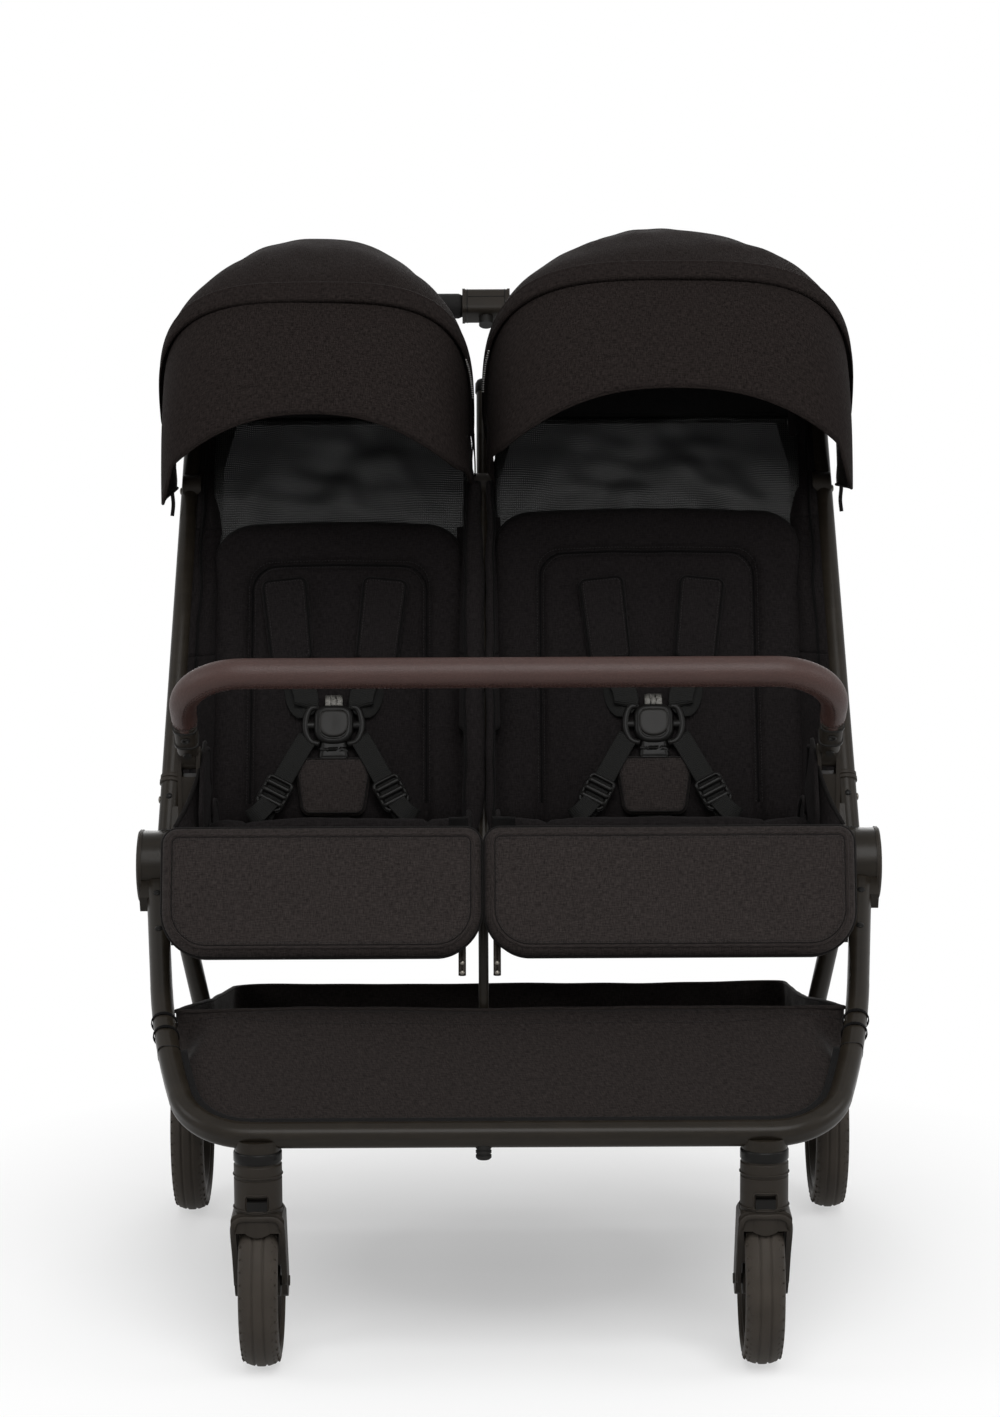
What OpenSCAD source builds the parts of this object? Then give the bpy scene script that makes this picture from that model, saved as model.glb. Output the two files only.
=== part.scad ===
// Side by side double stroller: folding frame, two seats, two canopies, basket and swivel castors.
// Millimetres, +Z up, front towards -Y. The origin lies on the floor under the middle of the box.

/* [Frame] */
// Distance from the middle to the outer face of a fold hub
hub_half_w = 385; // [375:1:400]
// Height of the fold hub's axis
hub_z = 425; // [415:1:440]
// Radius of a fold hub
hub_r = 38; // [34:1:42]
// Fore and aft reach of the front loop from the hub axis
loop_reach = 372; // [360:1:385]
// Drop of the front loop from the hub axis to the front bar
loop_drop = 187; // [180:1:195]
// Corner radius of the front loop
loop_corner_r = 72; // [60:1:85]
// Splay of the front loop's sides
loop_splay = 5.5; // [4:0.5:7]
// Splay of the loop's sides where they reach the corners
loop_toe = 15; // [12:0.5:17]
// Radius of the easy bend between a side of the loop and its corner
loop_ease_r = 1000; // [900:10:1100]
// Width of the front loop's tube
loop_tube_w = 22; // [18:1:24]
// Depth of the front loop's tube
loop_tube_d = 24; // [20:1:28]
// Lean of the push tubes from the vertical
push_lean = 35.5; // [33:0.5:38]
// Length of the push frame from the hub axis to the handlebar
push_len = 685; // [670:1:700]
// Radius of a push tube
push_tube_r = 10; // [8:0.5:11]
// How far the push tubes lean in between the hub and their seam
push_toe = 15; // [10:1:18]
// Radius of the handlebar tube
handle_tube_r = 11; // [9:0.5:12]
// Radius of a foam grip
grip_r = 14; // [13:0.5:16]
// Corner radius of the handlebar
handle_corner_r = 70; // [50:1:90]
// Place of the divide between the seats, across the stroller
divide_x = -26; // [-32:1:-20]
// Radius of the centre post
post_r = 7; // [5:0.5:8]
// Radius of the cross tubes
cross_r = 8; // [6:0.5:8]
// Radius of a rear leg
leg_r = 10; // [8:0.5:11]

/* [Wheels] */
// Radius of a front wheel
front_wheel_r = 82; // [76:1:86]
// Width of a front tyre
front_tyre_w = 38; // [32:1:40]
// How far a castor's axis lies inside a hub's outer face
castor_inset = 144; // [140:1:152]
// Trail of the castors
castor_trail = 38; // [34:1:44]
// Radius of a castor's housing
castor_r = 23; // [20:1:25]
// Radius of a rear wheel
rear_wheel_r = 95; // [88:1:102]
// Width of a rear tyre
rear_tyre_w = 36; // [30:1:38]
// How far a rear wheel's middle lies inside a hub's outer face
rear_wheel_inset = 35; // [30:1:37]
// Place of the rear axle behind the hub axis
rear_axle_y = 205; // [195:1:215]
// Radius of the wheel pins
wheel_pin_r = 5; // [4:0.5:6]

/* [Seats] */
// Lean of the seat backs from the vertical
back_lean = 25; // [22:1:28]
// Length of a seat back
back_len = 356; // [340:1:365]
// Thickness of a back pad
back_pad_t = 22; // [18:1:24]
// How far the seat backs' outer edges lie inside a hub's outer face
back_inset = 83; // [83:1:95]
// Slope of the seat bases
seat_slope = 11.5; // [10:0.5:13]
// Thickness of a seat cushion
seat_pad_t = 16; // [12:1:20]
// Length of a leg rest
leg_rest_len = 116; // [100:1:120]
// Thickness of a leg rest
leg_rest_t = 22; // [16:1:24]
// Forward lean of the leg rests from the vertical
leg_rest_lean = 20; // [15:1:22]

/* [Bumper bar] */
// Height of the bumper bar
bumper_z = 660; // [650:1:670]
// Reach of the bumper bar in front of the hub axis
bumper_reach = 230; // [220:1:240]
// Outer radius of the bumper bar's cover
bumper_r = 15; // [13:0.5:16]
// How far the bumper bar's arms lie inside a hub's outer face
bumper_inset = 65; // [64:1:69]
// Corner radius of the bumper bar
bumper_corner_r = 62; // [50:1:70]

/* [Canopies] */
// Radius of the canopies about their pivots
canopy_r = 272; // [260:1:280]
// How far the canopies' outer edges lie inside a hub's outer face
canopy_inset = 16.5; // [13:0.5:23]
// How much higher the wider canopy is
canopy_rise = 8.5; // [4:0.5:12]
// How many degrees the wider canopy stands back from the other
canopy_ease = 5; // [0:1:8]
// Thickness of the canopy cloth
canopy_t = 3; // [2:0.5:3.5]
// Angle of the front bow ahead of the vertical
bow_angle = 37; // [34:1:40]
// Distance of the canopy pivots from the handlebar, along the push tubes
canopy_drop = 232; // [225:1:240]

/* [Basket] */
// How far the bag's rear sides lie inside a hub's outer face
basket_inset = 85; // [83:1:100]
// Height of the basket's floor
basket_floor_z = 188; // [184:1:198]
// Thickness of the basket's cloth
basket_t = 3; // [2:0.5:4]

/* [Clearances] */
// Running gap round a pin
pin_gap = 0.05; // [0.02:0.01:0.1]
// Gap between bodies that pass each other
pass_gap = 0.3; // [0.2:0.05:0.5]

/* [Hidden] */
$fn = 64;
form_fn = 32;

loop_slope = atan(loop_drop / loop_reach);
loop_len = norm([loop_reach, loop_drop]);
loop_x0 = hub_half_w - 19;
castor_x = hub_half_w - castor_inset;
rear_wheel_x = hub_half_w - rear_wheel_inset;
back_half_w = hub_half_w - back_inset;
bumper_arm_x = hub_half_w - bumper_inset;
canopy_half_w = hub_half_w - canopy_inset;
basket_half_w = hub_half_w - basket_inset;
bend_swell = 0.15;

// In the loop's plane a side runs straight from the hub, then through an easy bend, then round the corner
loop_ay = loop_corner_r - loop_len;
ease_start_y = loop_ay - loop_corner_r * sin(loop_toe) + loop_ease_r * (sin(loop_toe) - sin(loop_splay));
loop_arc_x = loop_x0 + tan(loop_splay) * ease_start_y - loop_corner_r * cos(loop_toe)
    + loop_ease_r * (cos(loop_toe) - cos(loop_splay));
ease_x = loop_arc_x + (loop_corner_r - loop_ease_r) * cos(loop_toe);
ease_y = loop_ay - (loop_corner_r - loop_ease_r) * sin(loop_toe);

// Middle of a side's tube, at a distance from the hub axis
function loop_side_x(l) = l < -ease_start_y ? loop_x0 - tan(loop_splay) * l
    : ease_x + sqrt(loop_ease_r * loop_ease_r - pow(l + ease_y, 2));

// The hub's discs, from the inside out: push frame, rear leg, front loop, cover
cover_t = 6;
lug_t = 11.3;
front_lug_x1 = hub_half_w - cover_t - pass_gap;
front_lug_x0 = front_lug_x1 - 20.8;
rear_lug_x1 = front_lug_x0 - pass_gap;
rear_lug_x0 = rear_lug_x1 - lug_t;
push_lug_x1 = rear_lug_x0 - pass_gap;
push_lug_x0 = push_lug_x1 - lug_t;
hub_pin_r = 6;
lug_r = hub_r - 1;
lug_reach = hub_r + 26;

push_x = hub_half_w - 28;
handle_x = push_x - push_toe;
push_seam_s = push_len - 125;
canopy_pivot_s = push_len - canopy_drop;

castor_y = 4 - loop_reach;
castor_top_z = hub_z - loop_drop - 4;
axle_y = castor_y + castor_trail;
boss_z0 = castor_top_z - 23;
crown_z1 = 2 * front_wheel_r + 1;
crown_z0 = crown_z1 - 25;
housing_z0 = crown_z1 + pass_gap;
fork_gap = front_tyre_w + 3;
fork_arm_t = 5;
lock_w = 19;
lock_h = 9;
lock_travel = 4;

rear_leg_x0 = rear_lug_x0 + lug_t / 2;
// A leg leans out as it rises, so its foot stands in by as much as keeps it clear of the wheel
leg_clear_x = rear_wheel_x - rear_tyre_w / 2 - 2 - leg_r;
leg_share = rear_wheel_r / norm([rear_axle_y, hub_z - rear_wheel_r]);
rear_leg_x1 = (leg_clear_x - rear_leg_x0 * leg_share) / (1 - leg_share);
axle_tube_r = 9;

bight_y = 75;
bight_z = 440;
left_back = [-back_half_w, divide_x - 43];
right_back = [divide_x + 34, back_half_w];
tub_t = 4;
tub_gap = 1.5;
tub_out = back_half_w + tub_gap;
left_tub = [-tub_out, divide_x - 17];
right_tub = [divide_x + 17, tub_out];
tub_front = 247;
rail_x = tub_out + tub_t + cross_r + pass_gap;
recline_r = 5;
recline_lift = 14;
knuckle_r = recline_r + 4;
rail_rear_z = bight_z - 4;

leg_pivot_y = -197;
leg_pivot_z = 478;
left_leg = [45 - hub_half_w, divide_x - 5];
right_leg = [divide_x + 5, hub_half_w - 48];

bumper_pivot_y = -118;
bumper_pivot_z = 558;
bumper_core_r = 11;
arm_dir_y = -bumper_reach - bumper_pivot_y;
arm_dir_z = bumper_z - bumper_pivot_z;
arm_len = norm([arm_dir_y, arm_dir_z]);
arm_tilt = atan2(arm_dir_z, -arm_dir_y);
fitting_len = 34;
bumper_button_r = 4;
bracket_r = 12;
bumper_pin_r = 5;
tongue_w = 14;
tongue_len = bracket_r + 6;

canopy_y = canopy_pivot_s * sin(push_lean);
canopy_z = hub_z + canopy_pivot_s * cos(push_lean);
canopy_foot_r = 90;
canopy_power = 0.77;
layer = canopy_t + 0.8;
clip_r = 14;
canopy_pin_r = 5;
ear_t = 4;
left_canopy = [-canopy_half_w, divide_x - post_r - 3.5];
right_canopy = [divide_x + post_r + 3.5, canopy_half_w];
rear_edge_angle = -15;
visor_angle = 79;
visor_mid_angle = 68;

frame_colour = "#2b2a29";
plastic_colour = "#222224";
cloth_colour = "#2d2c2e";
pad_colour = "#35333a";
leather_colour = "#30231f";
tyre_colour = "#1c1c1e";
steel_colour = "#b9bcc0";

// Shapes that repeat

// Round bar between two points
module rod(a, b, r) {
    d = b - a;
    translate(a)
        rotate([0, acos(d.z / norm(d)), atan2(d.y, d.x)])
            cylinder(r = r, h = norm(d));
}

// Disc or pin along X from x0 to x1, on the axis at y, z
module along_x(x0, x1, y, z, r) {
    translate([x0, y, z])
        rotate([0, 90, 0])
            cylinder(r = r, h = x1 - x0);
}

module both_sides() {
    children();
    mirror([1, 0, 0])
        children();
}

module side(s) {
    mirror([s < 0 ? 1 : 0, 0, 0])
        children();
}

// Flat frames that the inclined parts are drawn in
module in_loop_plane() {
    translate([0, 0, hub_z])
        rotate([loop_slope, 0, 0])
            children();
}

module in_push_plane() {
    translate([0, 0, hub_z])
        rotate([90 - push_lean, 0, 0])
            children();
}

module on_back() {
    translate([0, bight_y, bight_z])
        rotate([90 - back_lean, 0, 0])
            children();
}

module on_leg_rest() {
    translate([0, leg_pivot_y, leg_pivot_z])
        rotate([90 - leg_rest_lean, 0, 0])
            children();
}

module on_seat() {
    translate([0, bight_y, bight_z])
        rotate([-seat_slope, 0, 0])
            children();
}

// Sweeps a profile of [radius, x] about an axis along X, from angle a0 to a1 ahead of the vertical
module sweep_x(a0, a1) {
    rotate([0, 90, 0])
        rotate([0, 0, 180 + a0])
            rotate_extrude(angle = a1 - a0, $fn = 96)
                children();
}

// Round-cornered rectangle
module soft_box(w, h, r) {
    square([w - 2 * r, h], center = true);
    square([w, h - 2 * r], center = true);
    for (x = [-1, 1], y = [-1, 1])
        translate([x * (w / 2 - r), y * (h / 2 - r)])
            circle(r, $fn = form_fn);
}

// Cushion with a crown, drawn-in sides and sewn channels; its back is flat on z = 0
function squash_round(u, v, k) = u * sqrt(1 - k * v * v / 2);
function drawn(u, v, pull) = 1 - pull * (1 - v * v);
function crown(u, v) = sqrt(max(0, 1 - pow(u, 6))) * sqrt(max(0, 1 - pow(v, 6)));
function groove(d, w) = exp(-pow(d / w, 2));
// Share of a cushion's thickness that stands at its edge
edge_t = 0.35;

module cushion(w, h, t, nx, ny, round_k, pull, channel) {
    us = [for (i = [0 : nx]) 2 * i / nx - 1];
    vs = [for (j = [0 : ny]) 2 * j / ny - 1];
    flat = [for (v = vs) [for (u = us)
        [w / 2 * squash_round(u, v, round_k) * drawn(u, v, pull),
         h / 2 * squash_round(v, u, round_k) * drawn(v, u, pull)]]];
    lift = [for (j = [0 : ny]) [for (i = [0 : nx])
        t * (edge_t + (1 - edge_t) * crown(us[i], vs[j])) - channel_depth(channel, flat[j][i], w, h, t)]];
    ring = concat(
        [for (i = [0 : nx - 1]) [i, 0]],
        [for (j = [0 : ny - 1]) [nx, j]],
        [for (i = [nx : -1 : 1]) [i, ny]],
        [for (j = [ny : -1 : 1]) [0, j]]);
    n = len(ring);
    top = (nx + 1) * (ny + 1);
    points = concat(
        [for (j = [0 : ny]) for (i = [0 : nx]) [flat[j][i].x, flat[j][i].y, lift[j][i]]],
        [for (p = ring) [flat[p.y][p.x].x, flat[p.y][p.x].y, 0]],
        [[0, 0, 0]]);
    faces = concat(
        [for (j = [0 : ny - 1]) for (i = [0 : nx - 1])
            [j * (nx + 1) + i, (j + 1) * (nx + 1) + i, (j + 1) * (nx + 1) + i + 1]],
        [for (j = [0 : ny - 1]) for (i = [0 : nx - 1])
            [j * (nx + 1) + i, (j + 1) * (nx + 1) + i + 1, j * (nx + 1) + i + 1]],
        [for (k = [0 : n - 1])
            [ring[k].y * (nx + 1) + ring[k].x, ring[(k + 1) % n].y * (nx + 1) + ring[(k + 1) % n].x, top + k]],
        [for (k = [0 : n - 1])
            [ring[(k + 1) % n].y * (nx + 1) + ring[(k + 1) % n].x, top + (k + 1) % n, top + k]],
        [for (k = [0 : n - 1]) [top + n, top + k, top + (k + 1) % n]]);
    polyhedron(points, faces);
}

// Drop of a back pad's face below its crown, at a place along the back
function pad_drop(at) = back_pad_t * (1 - edge_t) * (1 - crown(0, (at - recline_lift) * 2 / back_len - 1));

// Depth of a cushion's channels: "panel" runs round an inset panel, "none" has none
function channel_depth(kind, p, w, h, t) = kind == "panel"
    ? 0.28 * t * max(
        groove(abs(p.x) - 0.36 * w, 5) * (abs(p.y) < 0.36 * h ? 1 : groove(abs(p.y) - 0.36 * h, 8)),
        groove(p.y - 0.36 * h, 6) * (abs(p.x) < 0.36 * w ? 1 : groove(abs(p.x) - 0.36 * w, 8)))
    : 0;

// Frame

// The bends are a hair fuller than the straight runs that end inside them
module loop_section(swell) {
    soft_box(loop_tube_w + 2 * swell, loop_tube_d + 2 * swell, 9 + swell);
}

module loop_side() {
    start = [loop_x0 + tan(loop_splay) * ease_start_y, ease_start_y, 0];
    run = -start.y / cos(loop_splay);
    lap = 1;
    translate(start)
        rotate([-90, 0, -loop_splay])
            translate([0, 0, -lap])
                linear_extrude(run + lap)
                    loop_section(0);
    loop_bend([ease_x, ease_y, 0], loop_ease_r, loop_splay, loop_toe + 0.06, bend_swell, 720);
    loop_bend([loop_arc_x, loop_ay, 0], loop_corner_r, loop_toe, 90, 2 * bend_swell, 96);
}

module loop_bend(at, r, a0, a1, swell, steps) {
    translate(at)
        rotate([0, 0, -a1])
            rotate_extrude(angle = a1 - a0, $fn = steps)
                translate([r, 0])
                    loop_section(swell);
}

module front_bar(lap) {
    translate([-loop_arc_x - lap, -loop_len, 0])
        rotate([90, 0, 90])
            linear_extrude(2 * (loop_arc_x + lap))
                loop_section(0);
}

// Disc of a hub with the plate that joins it to its tube, for a tube that leaves at an angle from +Y
module lug(x0, x1, angle) {
    along_x(x0, x1, 0, hub_z, lug_r);
    translate([0, 0, hub_z])
        rotate([angle, 0, 0])
            translate([x0, 0, -9])
                cube([x1 - x0, lug_reach, 18]);
}

module lug_bore(r) {
    along_x(push_lug_x0 - 1, front_lug_x1 + 1, 0, hub_z, r);
}

module hub_room(x0, x1) {
    along_x(x0, x1, 0, hub_z, hub_r + 0.5);
}

module front_frame() {
    color(frame_colour) {
        difference() {
            union() {
                in_loop_plane() {
                    both_sides()
                        loop_side();
                    front_bar(1);
                }
                both_sides()
                    translate([castor_x, castor_y, boss_z0])
                        cylinder(r = castor_r - 1, h = castor_top_z - boss_z0);
            }
            both_sides()
                hub_room(push_lug_x0 - 20, hub_half_w + 20);
        }
        both_sides() {
            lug(front_lug_x0, front_lug_x1, 180 + loop_slope);
            along_x(push_lug_x0 + 1, front_lug_x0 + 1, 0, hub_z, hub_pin_r);
        }
    }
}

module hub_cover(s) {
    dome = 3;
    color(plastic_colour)
        side(s)
            translate([front_lug_x1, 0, hub_z])
                rotate([0, 90, 0])
                    rotate_extrude()
                        polygon([[0, 0], [hub_r, 0], [hub_r, dome], [hub_r - 2, cover_t - 1],
                            [hub_r - 8, cover_t + pass_gap - 0.4], [0, cover_t + pass_gap]]);
}

module seat_frame() {
    rail_rear = [rail_x, bight_y - 40, rail_rear_z];
    rail_front = [rail_x, leg_pivot_y, leg_pivot_z];
    stay_s = 110;
    stay_x = loop_x0 - tan(loop_splay) * stay_s - loop_tube_w / 2 / cos(loop_splay) - 0.2;
    stay_y = -stay_s * cos(loop_slope);
    mid_z = rail_rear.z + (rail_front.z - rail_rear.z) * (rail_rear.y - stay_y) / (rail_rear.y - rail_front.y);
    color(frame_colour) {
        both_sides() {
            rod(rail_rear, rail_front, cross_r);
            rod([rail_x, stay_y, hub_z - stay_s * sin(loop_slope)], [rail_x, stay_y, mid_z], cross_r - 1);
            in_loop_plane()
                translate([rail_x - cross_r, -stay_s - 12, -7])
                    linear_extrude(14)
                        polygon([[0, 0], [stay_x - rail_x + cross_r + tan(loop_splay) * -12, 0],
                            [stay_x - rail_x + cross_r + tan(loop_splay) * 12, 24], [0, 24]]);
        }
        along_x(-rail_x - cross_r - 2, rail_x + cross_r + 2, leg_pivot_y, leg_pivot_z, cross_r);
    }
}

strut_r = 5;
strut_knee = [divide_x, leg_pivot_y + 8, hub_z - 133];
strut_foot = [divide_x, -loop_reach + 16, hub_z - loop_drop - 6];

module centre_strut() {
    top = [divide_x, leg_pivot_y + 16, leg_pivot_z - 52];
    color(frame_colour)
        difference() {
            union() {
                rod(top, strut_knee, strut_r);
                translate(strut_knee)
                    sphere(strut_r + 1);
                rod(strut_knee, strut_foot, strut_r);
                translate([divide_x - 9, leg_pivot_y - 4, leg_pivot_z - 58])
                    cube([18, 24, 54]);
            }
            along_x(divide_x - 20, divide_x + 20, leg_pivot_y, leg_pivot_z, cross_r);
            in_loop_plane()
                front_bar(0);
        }
}

module frame_foot() {
    r = 7.5;
    top = hub_z - loop_drop;
    color(tyre_colour)
        difference() {
            translate([divide_x, -loop_reach, top - 24])
                rotate_extrude()
                    polygon([[0, 0], [r - 1.5, 0], [r, 1.5], [r, 4], [r - 1, 4.6], [r - 1, 5.6], [r, 6.2],
                        [r, 8.4], [r - 1, 9], [r - 1, 10], [r, 10.6], [r, 24], [0, 24]]);
            in_loop_plane()
                front_bar(0);
        }
}

// Castors

module castor_housing(s) {
    pocket_z = housing_z0 + 3;
    color(plastic_colour)
        side(s)
            translate([castor_x, castor_y, 0])
                difference() {
                    translate([0, 0, housing_z0])
                        rotate_extrude()
                            polygon([[0, 0], [castor_r, 0], [castor_r, 31], [castor_r - 0.8, 31.5],
                                [castor_r - 0.8, 32.7], [castor_r, 33.2], [castor_r, boss_z0 - housing_z0 - 1.5],
                                [castor_r - 1.5, boss_z0 - housing_z0], [0, boss_z0 - housing_z0]]);
                    translate([0, 0, housing_z0 - 1])
                        cylinder(r = 7 + pin_gap, h = 31);
                    translate([-lock_w / 2 - pass_gap, -castor_r - 1, pocket_z])
                        cube([lock_w + 2 * pass_gap, 9, lock_h + lock_travel + 2 * pass_gap]);
                }
}

module castor_lock(s) {
    color(frame_colour)
        side(s)
            translate([castor_x - lock_w / 2, castor_y - castor_r - 0.5, housing_z0 + 3 + pass_gap])
                cube([lock_w, 8.2, lock_h]);
}

module fork(s) {
    arm_r = 15;
    half = fork_gap / 2 + fork_arm_t;
    color(plastic_colour)
        side(s)
            difference() {
                union() {
                    translate([castor_x, castor_y, crown_z0])
                        cylinder(r = castor_r, h = crown_z1 - crown_z0);
                    translate([castor_x, castor_y, crown_z1 - 1])
                        cylinder(r = 7, h = 30);
                    for (m = [-1, 1])
                        translate([castor_x + m * (fork_gap + fork_arm_t) / 2, 0, 0])
                            rotate([90, 0, 90])
                                linear_extrude(fork_arm_t, center = true)
                                    hull() {
                                        translate([axle_y, front_wheel_r])
                                            circle(arm_r, $fn = form_fn);
                                        translate([castor_y - 20, crown_z0 + 6])
                                            square([40, crown_z1 - crown_z0 - 13]);
                                    }
                    translate([castor_x, castor_y + 20, 0])
                        rotate([90, 0, 0])
                            linear_extrude(40)
                                polygon([[-half, crown_z0 + 6], [half, crown_z0 + 6], [half, crown_z1 - 6],
                                    [half - 2, crown_z1 - 2], [half - 6, crown_z1], [6 - half, crown_z1],
                                    [2 - half, crown_z1 - 2], [-half, crown_z1 - 6]]);
                }
                along_x(castor_x - fork_gap / 2, castor_x + fork_gap / 2, axle_y, front_wheel_r, front_wheel_r + 4);
            }
    color(steel_colour)
        side(s)
            along_x(castor_x - half - 1.5, castor_x + half + 1.5, axle_y, front_wheel_r, wheel_pin_r);
}

// Tyre profile about the wheel's axis, with grooves round the tread
module tyre(x, y, r, w, depth) {
    shoulder = 6;
    groove_w = 2.4;
    groove_d = 1.6;
    translate([x, y, r])
        rotate([0, 90, 0])
            rotate_extrude($fn = 96)
                difference() {
                    polygon([[r - depth, -w / 2 + 3], [r - depth + 5, -w / 2], [r - shoulder, -w / 2],
                        [r - 1.5, -w / 2 + 4], [r, -w / 2 + 9], [r, w / 2 - 9], [r - 1.5, w / 2 - 4],
                        [r - shoulder, w / 2], [r - depth + 5, w / 2], [r - depth, w / 2 - 3]]);
                    for (g = [-1, 1])
                        translate([r - groove_d, g * 5 - groove_w / 2])
                            square([groove_d + 1, groove_w]);
                }
}

// Rim with spokes, bored for its pin
module rim(x, y, r, w, depth, spokes) {
    rim_r = r - depth;
    hub_boss_r = 15;
    band = 6;
    translate([x, y, r])
        rotate([0, 90, 0])
            difference() {
                union() {
                    rotate_extrude($fn = 96)
                        polygon([[rim_r - band, -w / 2 + 4], [rim_r, -w / 2 + 4], [rim_r, w / 2 - 4],
                            [rim_r - band, w / 2 - 4], [rim_r - band - 2, 6], [rim_r - band - 2, -6]]);
                    cylinder(r = hub_boss_r, h = w - 2, center = true);
                    for (i = [0 : spokes - 1])
                        rotate([0, 0, 360 / spokes * i])
                            translate([hub_boss_r - 2, -4.5, -5])
                                cube([rim_r - band - hub_boss_r + 1, 9, 10]);
                }
                cylinder(r = wheel_pin_r + pin_gap, h = w + 10, center = true);
            }
}

front_tyre_depth = 15;
rear_tyre_depth = 15;

module front_rim(s) {
    color(plastic_colour)
        rim(s * castor_x, axle_y, front_wheel_r, front_tyre_w, front_tyre_depth, 6);
}

module front_tyre(s) {
    color(tyre_colour)
        tyre(s * castor_x, axle_y, front_wheel_r, front_tyre_w, front_tyre_depth);
}

module rear_rim(s) {
    color(plastic_colour)
        rim(s * rear_wheel_x, rear_axle_y, rear_wheel_r, rear_tyre_w, rear_tyre_depth, 7);
}

module rear_tyre(s) {
    color(tyre_colour)
        tyre(s * rear_wheel_x, rear_axle_y, rear_wheel_r, rear_tyre_w, rear_tyre_depth);
}

// Rear frame

module rear_leg(s) {
    top = [rear_leg_x0, 0, hub_z];
    low = [rear_leg_x1, rear_axle_y, rear_wheel_r];
    leg_angle = atan2(rear_wheel_r - hub_z, rear_axle_y);
    color(frame_colour)
        side(s)
            difference() {
                union() {
                    difference() {
                        rod(top, low, leg_r);
                        hub_room(push_lug_x0 - 20, hub_half_w);
                    }
                    lug(rear_lug_x0, rear_lug_x1, leg_angle);
                    along_x(rear_leg_x1 - leg_r, rear_wheel_x - rear_tyre_w / 2 + 1 - pass_gap,
                        rear_axle_y, rear_wheel_r, leg_r + 5);
                }
                lug_bore(hub_pin_r + pin_gap);
                along_x(0, hub_half_w, rear_axle_y, rear_wheel_r, wheel_pin_r);
            }
}

module rear_axle() {
    color(steel_colour) {
        along_x(-rear_leg_x1 + leg_r, rear_leg_x1 - leg_r, rear_axle_y, rear_wheel_r, axle_tube_r);
        along_x(-rear_wheel_x - rear_tyre_w / 2 - 3, rear_wheel_x + rear_tyre_w / 2 + 3,
            rear_axle_y, rear_wheel_r, wheel_pin_r);
    }
}

module brake_pedal() {
    x0 = rear_leg_x1 - 120;
    w = 70;
    color(plastic_colour)
        difference() {
            union() {
                along_x(x0, x0 + w, rear_axle_y, rear_wheel_r, axle_tube_r + 5);
                translate([x0 + 6, rear_axle_y + 8, rear_wheel_r + 4])
                    rotate([-14, 0, 0])
                        cube([w - 12, 52, 6]);
            }
            along_x(x0 - 1, x0 + w + 1, rear_axle_y, rear_wheel_r, axle_tube_r + pin_gap);
        }
}

// Push frame

function push_at(s) = push_x - push_toe * s / push_seam_s;

module push_run() {
    rod([push_x, 0, 0], [push_at(push_seam_s - 0.3), push_seam_s - 0.3, 0], push_tube_r);
}

module push_tube(s) {
    color(frame_colour)
        side(s)
            difference() {
                union() {
                    difference() {
                        in_push_plane()
                            push_run();
                        hub_room(push_lug_x0 - 20, hub_half_w + 20);
                    }
                    lug(push_lug_x0, push_lug_x1, 90 - push_lean);
                    difference() {
                        in_push_plane()
                            translate([push_lug_x0, hub_r, -9])
                                cube([push_x - push_lug_x0, lug_reach - hub_r, 18]);
                        hub_room(push_lug_x1, hub_half_w);
                    }
                }
                lug_bore(hub_pin_r + pin_gap);
            }
}

module handlebar() {
    run = push_len - handle_corner_r - push_seam_s;
    color(frame_colour)
        in_push_plane() {
            both_sides() {
                rod([handle_x, push_seam_s, 0], [handle_x, push_seam_s + run, 0], handle_tube_r);
                translate([handle_x - handle_corner_r, push_len - handle_corner_r, 0])
                    rotate_extrude(angle = 90)
                        translate([handle_corner_r, 0])
                            circle(handle_tube_r);
            }
            rod([handle_corner_r - handle_x, push_len, 0], [handle_x - handle_corner_r, push_len, 0], handle_tube_r);
        }
}

casing_half = 26;

module handle_grips() {
    ends = handle_x - handle_corner_r;
    color(tyre_colour)
        in_push_plane()
            difference() {
                union() {
                    rod([-ends, push_len, 0], [divide_x + 4 - casing_half, push_len, 0], grip_r);
                    rod([divide_x + 4 + casing_half, push_len, 0], [ends, push_len, 0], grip_r);
                }
                rod([-push_x, push_len, 0], [push_x, push_len, 0], handle_tube_r);
            }
}

button_r = 8;
button_travel = 5;
casing_r = 16;

module fold_housing() {
    x = divide_x + 4;
    color(plastic_colour)
        in_push_plane()
            difference() {
                rod([x - casing_half, push_len, 0], [x + casing_half, push_len, 0], casing_r);
                rod([-push_x, push_len, 0], [push_x, push_len, 0], handle_tube_r);
                translate([x, push_len - casing_r - 3, 0])
                    rotate([-90, 0, 0])
                        cylinder(r = button_r + pass_gap, h = casing_r - handle_tube_r + 8);
            }
}

module fold_button() {
    x = divide_x + 4;
    color(frame_colour)
        in_push_plane()
            difference() {
                translate([x, push_len - casing_r - 9, 0])
                    rotate([-90, 0, 0])
                        cylinder(r = button_r, h = 9 + casing_r - 2);
                rod([-push_x, push_len, 0], [push_x, push_len, 0], handle_tube_r + button_travel + pass_gap);
            }
}

module centre_post() {
    top_s = push_len - 103;
    color(frame_colour) {
        along_x(-push_lug_x0, push_lug_x0, 0, hub_z, cross_r);
        in_push_plane()
            rod([divide_x, 0, 0], [divide_x, top_s, 0], post_r);
    }
}

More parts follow.
